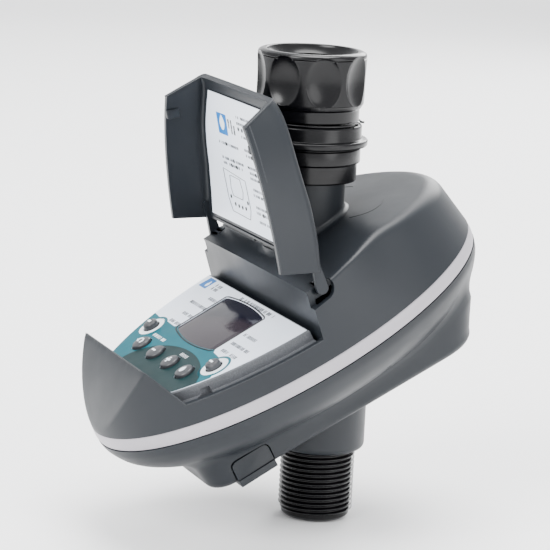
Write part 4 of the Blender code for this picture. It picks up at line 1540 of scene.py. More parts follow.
    def witness_lines(self) -> list[list[Vector]]:
        """Fine moulding lines that bow round both sides of the neck.

        Returns:
            The two lines as world points.
        """
        lines = []
        for start in (-28.0, 132.0):
            line = []
            for k in range(31):
                a = math.radians(start + 76.0 * k / 30)
                x, y = 19.2 * math.cos(a), 15.2 + 12.0 * math.sin(a)
                line.append(Vector((x, y, CASE_SHAPE.world_top(x, y) + 0.02)))
            lines.append(line)
        return lines

    def build(self) -> None:
        """Build and place every piece."""
        settle(self.build_shell(), "case_top", "case_satin", Body.CASE, Slot.CASE, "upper_shell")
        # The lip and recess beads take the lighter edge finish, a painted highlight along the edges.
        settle(bead([self.lip_line()], 0.26, "case_edge_texture_and_highlight"), "nose_lip_edge", "case_edge_texture_and_highlight", Body.CASE,
               Slot.CASE)
        settle(bead(self.ledge_lines(), 0.24, "case_edge_texture_and_highlight"), "recess_edges", "case_edge_texture_and_highlight", Body.CASE,
               Slot.CASE)
        # The moulding lines are thin beads in a dark finish: painted shadow standing in for the shade in
        # their grooves.
        lines = bead(self.witness_lines(), 0.1, "seam_shadow", sides=8)
        settle(lines, "witness_line", "seam_shadow", Body.CASE, Slot.CASE)


@dataclass
class TrimBand:
    """The pale band between the two shells."""

    around: int = 240

    def build(self) -> None:
        """Build and place the band."""
        section = []
        for k in range(15):
            t = k / 14.0
            bulge = 0.4 * math.sin(math.pi * t) ** 0.7
            section.append((0.25 - bulge, -0.16 - 4.88 * t))
        section += [(1.9, -5.05), (1.9, -0.15)]
        bm = bmesh.new()
        loops = []
        for inset, n in section:
            loops.append([CASE_SHAPE.place(*CASE_SHAPE.rim(2 * math.pi * k / self.around, inset), n)
                          for k in range(self.around)])
        skin(bm, loops, closed=True)
        settle(finish_mesh("band_ring", bm), "band_ring", "band_pale", Body.CASE, Slot.TRIM, "trim_band")


@dataclass
class LowerCase:
    """The lower shell: belly, battery keel, outlet boss, screw pockets and door opening."""

    around: int = 200
    keel_front: float = -61.5
    keel_rear: float = 47.7
    half_front: float = 25.2
    half_rear: float = 31.8
    corner: float = 9.0
    rear_corner: float = 14.0
    edge: float = 3.0
    fillet: float = 4.5
    boss_radius: float = 16.3
    boss_z: float = -141.5
    outlet_y: float = 10.12
    pockets: tuple[tuple[float, float, float], ...] = (
        (36.0, 8.0, -15.5), (-36.0, 8.0, -15.5), (17.0, 40.0, -18.0), (-17.0, 40.0, -18.0))

    def belly(self, x: float, s: float, inset: float) -> float:
        """Height of the belly without the keel."""
        deep = CASE_SHAPE.BELLY(max(0.0, CASE_SHAPE.inset_of(x, s) - inset))
        return -CASE_SHAPE.band_high - 0.15 - deep * (1.0 - inset / 19.2)

    def outside(self, x: float, s: float, inset: float) -> tuple[float, float]:
        """Distance outside the keel's foot outline, and how fast its wall leans out there.

        Args:
            x: place across the case.
            s: place along the case.
            inset: how far it is drawn in.

        Returns:
            The distance and the lean.
        """
        along = (s - self.keel_front) / (self.keel_rear - self.keel_front)
        half = self.half_front + (self.half_rear - self.half_front) * max(0.0, min(1.0, along)) - inset
        back = s > CASE_SHAPE.middle
        corner = self.rear_corner if back else self.corner
        dx = abs(x) - half + corner
        ds = (s - self.keel_rear if back else self.keel_front - s) + inset + corner
        lean = math.tan(math.radians(CASE_SHAPE.tilt_deg)) if back else 0.12
        if dx > 0.0 and ds > 0.0:
            share = ds * ds / (dx * dx + ds * ds)
            return math.hypot(dx, ds) - corner, 0.10 + (lean - 0.10) * share
        return (dx - corner, 0.10) if dx > ds else (ds - corner, lean)

    def ray(self, theta: float, inset: float, dense: float) -> list[tuple[float, float, float]]:
        """Points from the band down the belly, over the fillet and the keel to the middle.

        Args:
            theta: angle round the band from the nose.
            inset: how far it is drawn in.
            dense: how closely the points are set.

        Returns:
            The (x, s, n) points.
        """
        x0, s0 = CASE_SHAPE.rim(theta, inset)
        mid = CASE_SHAPE.middle
        floor = CASE_SHAPE.keel + inset
        fillet = self.fillet

        def at(g: float) -> tuple[float, float]:
            """Point (x, s) a share g of the way out to the band."""
            return x0 * g, mid + (s0 - mid) * g

        def foot(g: float) -> float:
            """Distance outside the keel's foot there."""
            return self.outside(*at(g), inset)[0]

        def meet(g: float) -> float:
            """How far the keel wall stands over the fillet there."""
            away, lean = self.outside(*at(g), inset)
            return floor + self.edge + away / lean - (self.belly(*at(g), inset) - fillet)

        def find(rule: Callable[[float], float], low: float = 0.02, high: float = 1.0) -> float:
            """Halve the way until the rule turns.

            Args:
                rule: the rule whose sign turns.
                low: lowest share tried.
                high: highest share tried.

            Returns:
                The share of the way at which the rule turns.
            """
            for _ in range(26):
                half = (low + high) / 2.0
                if rule(half) > 0.0:
                    high = half
                else:
                    low = half
            return (low + high) / 2.0

        reach = math.hypot(x0, s0 - mid)
        g_wall = find(meet)
        g_foot = min(find(foot), g_wall - 0.002)
        g_flat = find(lambda g: foot(g) + self.edge)
        g_fill = min(g_wall + fillet / reach, 0.97)
        line = []
        count = int(24 * dense)
        for k in range(count):
            g = 1.0 - (1.0 - g_fill) * (k / count) ** 1.6
            line.append((*at(g), self.belly(*at(g), inset)))
        count = int(8 * dense)
        for k in range(count):
            t = 1.0 - k / count
            g = g_wall + (g_fill - g_wall) * t
            sunk = fillet * (1.0 - math.sqrt(max(0.0, 1.0 - (1.0 - t) ** 2)))
            line.append((*at(g), self.belly(*at(g), inset) - sunk))
        n_wall = self.belly(*at(g_wall), inset) - fillet
        for k in range(5):
            t = k / 5
            line.append((*at(g_wall + (g_foot - g_wall) * t), n_wall + (floor + self.edge - n_wall) * t))
        count = int(8 * dense)
        for k in range(count + 1):
            a = math.radians(90.0 * k / count)
            g = g_flat + (g_foot - g_flat) * math.cos(a)
            line.append((*at(g), floor + self.edge * (1.0 - math.sin(a))))
        for k in range(1, 6):
            line.append((*at(g_flat * (1.0 - k / 5.6)), floor))
        return line

    def solid(self, inset: float, around: int, dense: float) -> bpy.types.Object:
        """The lower half as one solid, inset millimetres inside its outer skin.

        Args:
            inset: how far it is drawn in.
            around: rays round the band.
            dense: how closely the points are set.

        Returns:
            The closed solid.
        """
        bm = bmesh.new()
        rays = [self.ray(2 * math.pi * k / around, inset, dense) for k in range(around)]
        loops = [[CASE_SHAPE.place(*ray[i]) for ray in rays] for i in range(len(rays[0]))]
        if inset > 0.0:
            loops.insert(0, [CASE_SHAPE.place(ray[0][0], ray[0][1], 1.0) for ray in rays])
        made = skin(bm, loops, caps=False)
        fan(bm, made[-1], CASE_SHAPE.place(0.0, CASE_SHAPE.middle, CASE_SHAPE.keel + inset))
        bm.faces.new(list(reversed(made[0])))
        return finish_mesh("case_bottom" if inset == 0.0 else "tool", bm)

    def boss(self) -> bpy.types.Object:
        """The upright outlet boss with its rounded lower edge.

        Returns:
            The closed boss.
        """
        r, z = self.boss_radius, self.boss_z
        profile = [(0, -104.0), (r, -104.0)]
        for k in range(9):
            a = math.radians(90.0 * k / 8)
            profile.append((r - 2.4 + 2.4 * math.cos(a), z + 2.4 - 2.4 * math.sin(a)))
        return lathe("tool", profile + [(0, z)], origin=Vector((0, self.outlet_y, 0)), seg=96)

    def collar(self) -> bpy.types.Object:
        """Inside collar that carries the band and the seal.

        Returns:
            The closed collar.
        """
        bm = bmesh.new()
        loops = []
        for inset, n in ((2.06, -7.6), (2.06, -0.5), (4.0, -0.5), (4.0, -7.6)):
            loops.append([CASE_SHAPE.place(*CASE_SHAPE.rim(2 * math.pi * k / 120, inset), n)
                          for k in range(120)])
        skin(bm, loops, closed=True)
        return finish_mesh("tool", bm)

    def build(self) -> None:
        """Build and place the shell and its screws."""
        latch = [(-53.2, -34.5), (-53.2, -26.6), (-52.9, -25.4), (-52.0, -24.5), (-50.8, -24.2),
                 (-40.2, -24.2), (-39.0, -24.5), (-38.1, -25.4), (-37.8, -26.6), (-37.8, -34.5)]
        posts, mouths, shanks = [], [], []
        for x, s, seat in self.pockets:
            foot = CASE_SHAPE.keel + 1.0 if s > 20.0 else seat - 3.0
            posts.append(plate(circle(x, s, 4.6, 32), foot, -0.6))
            mouths.append(plate(circle(x, s, 3.1, 40), -40.0, seat))
            shanks.append(plate(circle(x, s, 1.7, 16), seat - 1.0, 2.0))
        steps = [("UNION", self.boss()),
                 ("DIFFERENCE", self.solid(CASE_SHAPE.wall, 96, 0.5)),
                 ("DIFFERENCE", rod(11.7, -150.0, -90.0, Vector((0, self.outlet_y, 0)), seg=72)),
                 ("DIFFERENCE", plate(BatteryDoor.outline(0.35), -40.0, -28.5)),
                 ("DIFFERENCE", joined([prism(latch, 21.0, 40.0), prism(latch, -40.0, -21.0)])),
                 ("UNION", self.collar()),
                 ("UNION", joined(posts)), ("DIFFERENCE", joined(mouths)), ("DIFFERENCE", joined(shanks))]
        bottom = combine(self.solid(0.0, self.around, 1.0), steps, 32.0)
        settle(bottom, "case_bottom", "case_satin", Body.CASE, Slot.CASE, "lower_shell")
        heads = bpy.data.meshes.new("screw_points")
        heads.from_pydata([CASE_SHAPE.place(x, s, seat - 2.15) * MM for x, s, seat in self.pockets], [], [])
        points = bpy.data.objects.new("screw_points", heads)
        bpy.context.scene.collection.objects.link(points)
        screws = RECIPES.screws.run(points, "steel_bright", Head_radius=2.6 * MM, Shank_radius=1.25 * MM,
                                    Length=22.0 * MM, Direction=tuple(CASE_SHAPE.normal()))
        settle(screws, "case_screws", "steel_bright", Body.CASE, Slot.STEEL, "case_screw_1", "case_screw_2",
               "case_screw_3", "case_screw_4")


@dataclass
class BatteryDoor:
    """The clip-on battery cover under the keel with its two side latches."""

    thick: float = 1.9

    @staticmethod
    def outline(grow: float) -> list[tuple[float, float]]:
        """Door outline in (x, s), grown by a margin.

        Args:
            grow: how far it is grown all round.

        Returns:
            The (x, s) points.
        """
        front, rear = -57.6 - grow, -30.5 + grow
        return [(23.0 + grow, rear), (-23.0 - grow, rear), (-22.6 - grow, -50.0), (-16.0, front),
                (16.0, front), (22.6 + grow, -50.0)]

    def build(self) -> None:
        """Build and place the door."""
        low = CASE_SHAPE.keel
        door = plate(self.outline(0.0), low, low + self.thick)
        tab = [(-52.8, -33.2), (-52.8, -26.7), (-52.5, -25.6), (-51.6, -24.9), (-50.7, -24.7), (-40.3, -24.7),
               (-39.4, -24.9), (-38.5, -25.6), (-38.2, -26.7), (-38.2, -33.2)]
        foot = [(-52.8, -34.0), (-52.8, -31.4), (-38.2, -31.4), (-38.2, -34.0)]
        tabs = [prism(tab, lo, hi) for lo, hi in ((24.3, 26.7), (-26.7, -24.3))]
        feet = [prism(foot, lo, hi) for lo, hi in ((21.0, 27.4), (-27.4, -21.0))]
        combine(door, [("UNION", joined(tabs)), ("UNION", joined(feet))])
        grips = []
        for k in range(5):
            s = -46.6 + 2.0 * k
            grips.append([CASE_SHAPE.place(x, s, low + 0.02) for x in (-9.0, -4.0, 0.0, 4.0, 9.0)])
        settle(bevelled(door, 0.28), "battery_cover", "case_satin", Body.DOOR, Slot.CASE, "battery_door")
        settle(bead(grips, 0.3, "case_satin"), "battery_cover_grips", "case_satin", Body.DOOR, Slot.CASE)


def window_outline(grow: float) -> list[tuple[float, float]]:
    """Display window in (x, s): straight sides, bowed ends and eased corners.

    Args:
        grow: margin all round.

    Returns:
        The (x, s) points.
    """
    half, rear, front = 17.5 + grow, -17.1 + grow, -38.9 - grow
    points = []
    for k in range(25):
        u = -1.0 + 2.0 * k / 24
        ease = 0.5 * max(0.0, (abs(u) - 0.94) / 0.06)
        points.append((-u * half, rear + 1.5 * (1.0 - u * u) - ease))
    for k in range(25):
        u = -1.0 + 2.0 * k / 24
        ease = 0.5 * max(0.0, (abs(u) - 0.94) / 0.06)
        points.append((u * half, front - 2.2 * (1.0 - u * u) + ease))
    return points


@dataclass
class ControlPanel:
    """The raised panel in the recess, its printed film, the display window and the keys."""

    film: float = 0.22
    keys: tuple[tuple[str, str, float, float, float], ...] = (
        ("button_mode", "mode_key", -30.2, -43.6, 2.7), ("button_manual", "manual_key", 30.2, -43.6, 2.7),
        ("button_back", "back_key", -21.0, -51.5, 3.5), ("button_minus", "minus_key", -7.2, -51.5, 3.5),
        ("button_plus", "plus_key", 7.2, -51.5, 3.5), ("button_next", "next_key", 21.0, -51.5, 3.5))

    def build_frame(self) -> bpy.types.Object:
        """The panel with its stepped ledge, window, key holes and catch slots.

        Returns:
            The finished panel.
        """
        shape = CASE_SHAPE
        rear = shape.panel_rear
        bm = bmesh.new()
        loops = []
        for inset, back, n in ((8.5, rear - 2.5, shape.panel), (6.0, rear - 0.2, shape.panel),
                               (5.8, rear, shape.panel - 0.2), (5.7, rear, 7.0), (5.5, rear + 0.1, 6.85),
                               (4.1, rear + 0.2, 6.7), (4.0, rear + 0.2, 6.2), (3.0, rear + 0.4, 6.1),
                               (2.9, rear + 0.4, 6.0), (2.9, rear + 0.4, 4.2), (7.2, rear - 1.4, 4.2),
                               (7.2, rear - 1.4, shape.panel - 1.6)):
            loops.append([shape.place(x, s, n) for x, s in shape.panel_outline(inset, back)])
        skin(bm, loops)
        panel = finish_mesh("panel_frame", bm)
        holes = [plate(circle(x, s, r + 0.4), 5.0, 14.0) for _, _, x, s, r in self.keys]
        slots = [plate(rounded_rect(side * 36.6, -51.9, 3.0, 5.0, 0.3, 2), 3.0, 9.0) for side in (1, -1)]
        return combine(panel, [("DIFFERENCE", plate(window_outline(0.3), 5.0, 14.0)),
                               ("DIFFERENCE", joined(holes)),
                               ("DIFFERENCE", joined(slots))], 30.0)

    def holes(self, margin: float) -> bpy.types.Object:
        """Cutter for the window and every key."""
        tools = [plate(circle(x, s, r + margin), 5.0, 14.0) for _, _, x, s, r in self.keys]
        return joined(tools + [plate(window_outline(-0.5), 5.0, 14.0)])

    def ink(self, name: str, outline: Outline, level: int, finish: str, cut: bool = True) -> None:
        """One printed area on the film.

        Args:
            name: the piece's name.
            outline: its outline in (x, s).
            level: how many inks lie under it.
            finish: the ink's finish.
            cut: whether it is trimmed to the film and its holes.
        """
        n = CASE_SHAPE.panel + 0.27 + 0.035 * level
        area = plate(outline, n, n + 0.03)
        if cut:
            edge = CASE_SHAPE.panel_outline(CASE_SHAPE.panel_inset + 0.9, CASE_SHAPE.panel_rear - 0.7)
            combine(area, [("INTERSECT", plate(edge, 9.0, 13.0)), ("DIFFERENCE", self.holes(0.45))])
        settle(area, name, finish, Body.CASE, Slot.LABEL)

    def ring(self, cx: float, cs: float, outer: float, inner: float, level: int) -> bpy.types.Object:
        """A flat printed ring.

        Args:
            cx: its middle across the case.
            cs: its middle along the case.
            outer: outer radius.
            inner: inner radius.
            level: height of the print.

        Returns:
            The ring.
        """
        n = CASE_SHAPE.panel + 0.27 + 0.035 * level
        area = plate(circle(cx, cs, outer, 48), n, n + 0.03)
        return combine(area, [("DIFFERENCE", plate(circle(cx, cs, inner, 48), 9.0, 13.0))])

    def words(self, rows: Sequence[tuple[float, float, float]], level: int) -> bpy.types.Object:
        """Rows of printed marks, each (x start, x end, s).

        Args:
            rows: each row as (x start, x end, s).
            level: height of the print.

        Returns:
            The printed marks.
        """
        n = CASE_SHAPE.panel + 0.29 + 0.035 * level
        paths = [[CASE_SHAPE.place(x0, s, n), CASE_SHAPE.place(x1, s, n)] for x0, x1, s in rows]
        return RECIPES.glyphs.run(path_object(paths), "ink_dark", Pitch=0.95 * MM, Height=1.45 * MM,
                                  Thickness=0.03 * MM, Face=tuple(CASE_SHAPE.normal()), Seed=4)

    def build_film(self) -> None:
        """The white film and everything printed on it."""
        shape = CASE_SHAPE
        outline = shape.panel_outline(shape.panel_inset + 0.8, shape.panel_rear - 0.6)
        film = plate(outline, shape.panel + 0.03, shape.panel + 0.03 + self.film)
        combine(film, [("DIFFERENCE", self.holes(0.45))])
        settle(film, "panel_film", "film_white", Body.CASE, Slot.LABEL, "panel_label")
        rear_edge = [(-46.0, -37.6), (-34.0, -38.6), (-26.0, -38.4), (-19.4, -38.6),
                     (-17.0, -37.0), (-8.0, -38.4),
                     (0.0, -39.0), (8.0, -38.4), (17.0, -37.0), (19.4, -39.0), (26.0, -39.6), (32.0, -42.6),
                     (36.4, -48.0), (37.0, -52.5), (44.0, -56.0), (44.0, -76.0), (-46.0, -76.0)]
        self.ink("panel_ink_teal", rear_edge, 0, "ink_teal")
        dome = []
        for k in range(49):
            a = math.radians(-14.0 + 208.0 * k / 48)
            dome.append((8.6 + 28.4 * math.cos(a), -60.0 + 16.4 * math.sin(a)))
        self.ink("panel_ink_deep", dome + [(-20.0, -76.0), (37.5, -76.0)], 1, "ink_deep_teal")
        halos = [self.ring(x, s, r + 2.3, r + 0.5, 2) for _, _, x, s, r in self.keys[:2]]
        settle(joined(halos), "key_halos", "ink_white", Body.CASE, Slot.LABEL)
        arcs = [self.ring(x, s, r + 3.6, r + 2.6, 1) for _, _, x, s, r in self.keys[:2]]
        settle(joined(arcs), "key_rings", "ink_teal", Body.CASE, Slot.LABEL)
        rows = [(-24.7, -18.0, -21.4), (-31.4, -18.6, -26.2), (-26.0, -18.6, -31.8), (-26.6, -18.6, -37.0),
                (20.4, 31.0, -26.8), (20.8, 34.6, -32.1), (21.6, 27.0, -36.4), (29.0, 33.2, -36.4),
                (-9.0, 20.0, -14.9), (-33.4, -27.4, -15.2), (-33.4, -27.4, -17.2)]
        settle(self.words(rows, 0), "panel_print", "ink_dark", Body.CASE, Slot.LABEL)
        light = self.words([(-22.4, -12.6, -45.6), (5.8, 11.0, -46.3)], 2)
        settle(light, "panel_print_white", "ink_white", Body.CASE, Slot.LABEL)
        badge = [(-41.4, -18.9), (-35.2, -18.9), (-35.2, -13.5), (-41.0, -13.5)]
        self.ink("panel_badge", badge, 0, "ink_blue", cut=False)
        drop = [(-37.2 + 1.0 * math.sin(a) * (1.0 if math.cos(a) < 0.2 else 0.55), -16.4 + 1.6 * math.cos(a))
                for a in (2 * math.pi * k / 24 for k in range(24))]
        self.ink("panel_badge_drop", drop, 1, "ink_white", cut=False)

    def build_window(self) -> None:
        """The display glass and the thin dark bead round it, dark with painted shadow."""
        shape = CASE_SHAPE
        glass = bevelled(plate(window_outline(-0.25), shape.panel - 1.3, shape.panel + 0.2), 0.18)
        # The lens's colour fade is a painted reflection.
        settle(glass, "display_lens", "display_painted_reflection", Body.CASE, Slot.GLASS, "display_window")
        n = shape.panel + 0.24
        # The surround bead's dark finish is painted shadow at the window's edge.
        frame_line = [shape.place(x, s, n) for x, s in window_outline(0.05)]
        settle(bead([frame_line], 0.3, "seam_shadow", ring=True, sides=8), "display_surround", "seam_shadow",
               Body.CASE, Slot.GLASS)

    def build_keys(self) -> None:
        """Domed keys with a raised white symbol on each."""
        shape = CASE_SHAPE
        up = shape.normal()
        for name, body, x, s, r in self.keys:
            top = shape.panel + (1.5 if r > 3.0 else 2.4)
            profile = [(0, 5.9), (r + 0.9, 5.9), (r + 0.9, 7.2), (r, 7.2), (r, top - 0.9)]
            for k in range(1, 9):
                a = math.radians(90.0 * k / 8)
                profile.append((r - 0.9 + 0.9 * math.cos(a), top - 0.9 + 0.9 * math.sin(a)))
            profile += [(r * 0.6, top + 0.16), (r * 0.3, top + 0.25), (0, top + 0.28)]
            cap = lathe("tool", profile, up, shape.place(x, s, 0.0), 56)
            settle(cap, name.replace("button", "key"), "key_grey", body, Slot.BUTTON, name)
            mark = self.symbol(name, x, s, top + 0.1, r)
            settle(mark, name.replace("button", "symbol"), "ink_white", body, Slot.LABEL)

    def symbol(self, name: str, x: float, s: float, n: float, r: float) -> bpy.types.Object:
        """The printed symbol of one key: bars, a turn-back arrow or a drop.

        Args:
            name: which symbol it is.
            x: place across the case.
            s: place along the case.
            n: height above the band.
            r: its half size.

        Returns:
            The printed symbol.
        """
        thick = 0.24

        def bar(cx: float, cs: float, wide: float, high: float) -> bpy.types.Object:
            """One bar of the symbol."""
            return plate(rounded_rect(x + cx, s + cs, wide, high, 0.12, 2), n, n + thick)

        if name == "button_minus":
            return bar(0.0, 0.0, 2.6, 0.8)
        if name == "button_plus":
            return combine(bar(0.0, 0.0, 2.8, 0.8), [("UNION", bar(0.0, 0.0, 0.8, 2.8))])
        if name == "button_next":
            drop = []
            for k in range(28):
                a = 2 * math.pi * k / 28
                pinch = 1.0 if math.cos(a) < 0.0 else 1.0 - 0.75 * math.cos(a) ** 1.5
                drop.append((x + 1.15 * math.sin(a) * pinch, s + 1.5 * math.cos(a)))
            return plate(drop, n, n + thick)
        if name == "button_back":
            arc = []
            for k in range(21):
                a = math.radians(-40.0 + 250.0 * k / 20)
                arc.append(CASE_SHAPE.place(x + 1.35 * math.cos(a), s + 1.35 * math.sin(a), n + 0.14))
            hook = [arc[-1] + Vector(p) for p in ((0.9, 0.1, 0.06), (0.0, 0.0, 0.0), (-0.7, 0.5, 0.28))]
            return bead([arc, hook], 0.3, "ink_white")
        return bar(0.0, 0.0, r * 0.85, 0.8) if name == "button_manual" else bar(0.0, 0.2, r * 0.7, 1.1)

    def build(self) -> None:
        """Build and place every piece."""
        settle(self.build_frame(), "panel_frame", "ledge_matt", Body.CASE, Slot.PANEL, "control_panel")
        self.build_film()
        self.build_window()
        self.build_keys()


@dataclass
class Lid:
    """The hinged cover, drawn shut and then swung to its open rest place."""

    sections: int = 34
    arm_across: tuple[float, float] = (47.17, 48.83)
    label_from: float = 0.055
    label_to: float = 0.90

    def run(self, n: float, u: float) -> float:
        """Position along the case of the lid's section u at height n.

        Args:
            n: height above the band.
            u: place from the rear edge, 0, to the free edge, 1.

        Returns:
            The place along the case.
        """
        rear = -11.5 + (n - 8.0) * 0.185
        free = CASE_LIP - (n - CASE_SHAPE.ledge) * 0.4375 + CASE_SHAPE.lid_gap
        return rear + (free - rear) * u

    def section(self, u: float) -> list[tuple[float, float, float]]:
        """One cross-section of the shut lid: outer points, then inner points.

        Args:
            u: place from the rear edge, 0, to the free edge, 1.

        Returns:
            The points, outer ones first.
        """
        shape = CASE_SHAPE

        def wall(n: float, t: float) -> tuple[float, float, float]:
            """Outer or inner wall point."""
            s = self.run(n, u)
            return shape.half_width(s, shape.LEAN(s) * n + t), s, n

        s_top = self.run(25.0, u)
        crown = shape.top(s_top, shape.half_width(s_top, 3.0))
        outer, inner = [], []
        for k in range(8):
            n = shape.ledge + 0.5 + (crown - 3.0 - shape.ledge - 0.5) * k / 7
            outer.append(wall(n, 0.0))
            inner.append(wall(min(n, crown - shape.lid_wall - 2.0), shape.lid_wall))
        for k in range(1, 8):
            a = math.radians(90.0 * k / 7)
            n = crown - 3.0 + 3.0 * math.sin(a)
            outer.append((wall(crown - 3.0, 0.0)[0] - 3.0 * (1.0 - math.cos(a)), self.run(n, u), n))
            n = crown - 3.0 + 1.3 * math.sin(a)
            reach = wall(crown - 3.0, shape.lid_wall)[0] - 1.6 * (1.0 - math.cos(a))
            inner.append((reach, self.run(n, u), n))
        edge_o, edge_i = outer[-1], inner[-1]
        for k in range(1, 8):
            f = 1.0 - k / 7.5
            for edge, side in ((edge_o, outer), (edge_i, inner)):
                x = edge[0] * f
                n = edge[2] + shape.top(s_top, x) - crown
                side.append((x, self.run(n, u), n))
        far = [[(-x, s, n) for x, s, n in reversed(side)] for side in (outer, inner)]
        return outer + far[0] + list(reversed(inner + far[1]))

    def open_up(self, obj: bpy.types.Object) -> bpy.types.Object:
        """Swing a piece drawn with the lid shut to the open rest place.

        Args:
            obj: the piece.

        Returns:
            The same piece, swung open.
        """
        pivot = CASE_SHAPE.hinge() * MM
        turn = Matrix.Rotation(-math.radians(CASE_SHAPE.lid_close), 4, "X")
        obj.data.transform(Matrix.Translation(pivot) @ turn @ Matrix.Translation(-pivot))
        return obj

    def inside(self, x: float, s: float) -> float:
        """Height of the lid's label face over (x, s)."""
        return CASE_SHAPE.top(s, x) - CASE_SHAPE.lid_wall - 0.60

    def build_cover(self) -> bpy.types.Object:
        """The cover with its arms, pin eyes, cross ribs and lips.

        Returns:
            The finished cover.
        """
        shape = CASE_SHAPE
        bm = bmesh.new()
        steps = [0.0, 0.012] + [k / (self.sections - 1) for k in range(1, self.sections - 1)] + [0.988, 1.0]
        skin(bm, [[shape.place(*p) for p in self.section(u)] for u in steps])
        cover = finish_mesh("lid_cover", bm)
        pivot = shape.hinge()
        arm = []
        for a in range(-90, 91, 10):
            turn = math.radians(a)
            arm.append((shape.hinge_s + 2.1 * math.cos(turn), shape.hinge_n + 2.1 * math.sin(turn)))
        arm += [(-9.6, 23.2), (-14.0, 22.2), (-15.6, 20.4), (-14.6, 19.4), (-9.0, 20.3)]
        lo, hi = self.arm_across
        arms = [prism(arm, lo, hi), prism(arm, -hi, -lo)]
        eyes = [rod(1.5, 46.0, 48.35, pivot, ACROSS, 24), rod(1.5, -48.35, -46.0, pivot, ACROSS, 24)]
        ribs = [prism([(s, 22.8), (s - 0.6, 22.8), (s - 0.6, 21.5), (s, 21.5)], -44.6, 44.6)
                for s in (-9.6, -11.0)]
        lip = [(-12.6, 23.3), (-8.8, 23.1), (-8.3, 24.35), (-6.3, 24.4), (-6.3, 25.0), (-6.8, 25.2),
               (-9.4, 24.8), (-12.6, 23.5)]
        lips = [prism(lip, lo, hi) for lo, hi in ((-41.0, -13.5), (13.5, 41.0))]
        cuts = [("UNION", joined(arms)), ("DIFFERENCE", joined(eyes)), ("UNION", joined(ribs)),
                ("UNION", joined(lips))]
        return self.open_up(combine(cover, cuts, 32.0))

    def side_line(self, height: float, start: float, end: float, proud: float, side: float) -> list[Vector]:
        """A line on the wall's outside at one height between two sections.

        Args:
            height: height above the band.
            start: section it starts at.
            end: section it ends at.
            proud: how far it stands off the wall.
            side: 1 for the right wall, -1 for the left.

        Returns:
            The line as world points.
        """
        shape = CASE_SHAPE
        line = []
        for k in range(40):
            u = start + (end - start) * k / 39
            s = self.run(height, u)
            line.append(shape.place(side * (shape.half_width(s, shape.LEAN(s) * height) + proud), s, height))
        return line

    def build_edges(self) -> bpy.types.Object:
        """Raised beads along the walls' lower edges, the ridge and the free edge.

        Returns:
            The beads.
        """
        shape = CASE_SHAPE
        paths = []
        for side in (1.0, -1.0):
            paths.append(self.side_line(shape.ledge + 0.8, 0.02, 0.985, -0.12, side))
            paths.append(self.side_line(shape.ledge + 2.6, 0.62, 0.985, -0.2, side))
        free = []
        for x, s, n in self.section(0.995)[:44]:
            free.append(shape.place(x * 0.997, s, n - 0.15))
        paths.append(free)
        # The lighter edge finish paints the highlight the lid's edges catch.
        return self.open_up(bead(paths, 0.3, "case_edge_texture_and_highlight"))

    def build_catches(self) -> bpy.types.Object:
        """The two small catches inside the walls that click into the panel.

        Returns:
            The two catches.
        """
        shape = CASE_SHAPE
        tools = []
        for side in (1.0, -1.0):
            x = shape.half_width(-51.9, shape.LEAN(-51.9) * 9.0 + 1.5)
            x0, x1 = sorted((side * x, side * (x - 1.6)))
            outline = [(-50.2, 12.5), (-50.2, 8.4), (-50.6, 7.8), (-53.2, 7.8), (-53.6, 8.4), (-53.6, 12.5)]
            tools.append(bevelled(prism(outline, x0, x1), 0.2))
        return self.open_up(joined(tools))

    def build_film(self) -> bpy.types.Object:
        """The printed film inside the lid.

        Returns:
            The film.
        """
        shape = CASE_SHAPE
        bm = bmesh.new()
        rows = []
        for k in range(25):
            u = self.label_from + (self.label_to - self.label_from) * k / 24
            s = self.run(22.0, u)
            half = shape.half_width(s, 6.5) - 1.5
            xs = [half * (-1.0 + 2.0 * i / 12) for i in range(13)]
            low = [(x, s, self.inside(x, s)) for x in xs]
            high = [(x, s, n - 0.22) for x, s, n in reversed(low)]
            rows.append([shape.place(*p) for p in low + high])
        skin(bm, rows)
        return self.open_up(finish_mesh("lid_film", bm))

    def on_film(self, x: float, s: float, lift: float = 0.26) -> Vector:
        """World point on the shut lid's film."""
        return CASE_SHAPE.place(x, s, self.inside(x, s) - lift)

    def text(self, rows: Sequence[tuple[float, float, float]], seed: int) -> bpy.types.Object:
        """Rows of printed marks on the film, each (x start, x end, s).

        Args:
            rows: each row as (x start, x end, s).
            seed: seed of the marks.

        Returns:
            The printed marks.
        """
        paths = [[self.on_film(x0 + (x1 - x0) * k / 4, s) for k in range(5)] for x0, x1, s in rows]
        marks = RECIPES.glyphs.run(path_object(paths), "ink_dark", Pitch=0.8 * MM, Height=0.95 * MM,
                                   Thickness=0.03 * MM, Face=tuple(CASE_SHAPE.normal()), Seed=seed)
        return self.open_up(marks)

    def patch(self, outline: Outline, lift: float) -> bpy.types.Object:
        """A flat inked area on the film.

        Args:
            outline: corner points in millimetres.
            lift: how far it stands off the film.

        Returns:
            The inked area.
        """
        bm = bmesh.new()
        skin(bm, [[self.on_film(x, s, lift + d) for x, s in outline] for d in (0.0, 0.03)])
        return finish_mesh("tool", bm)

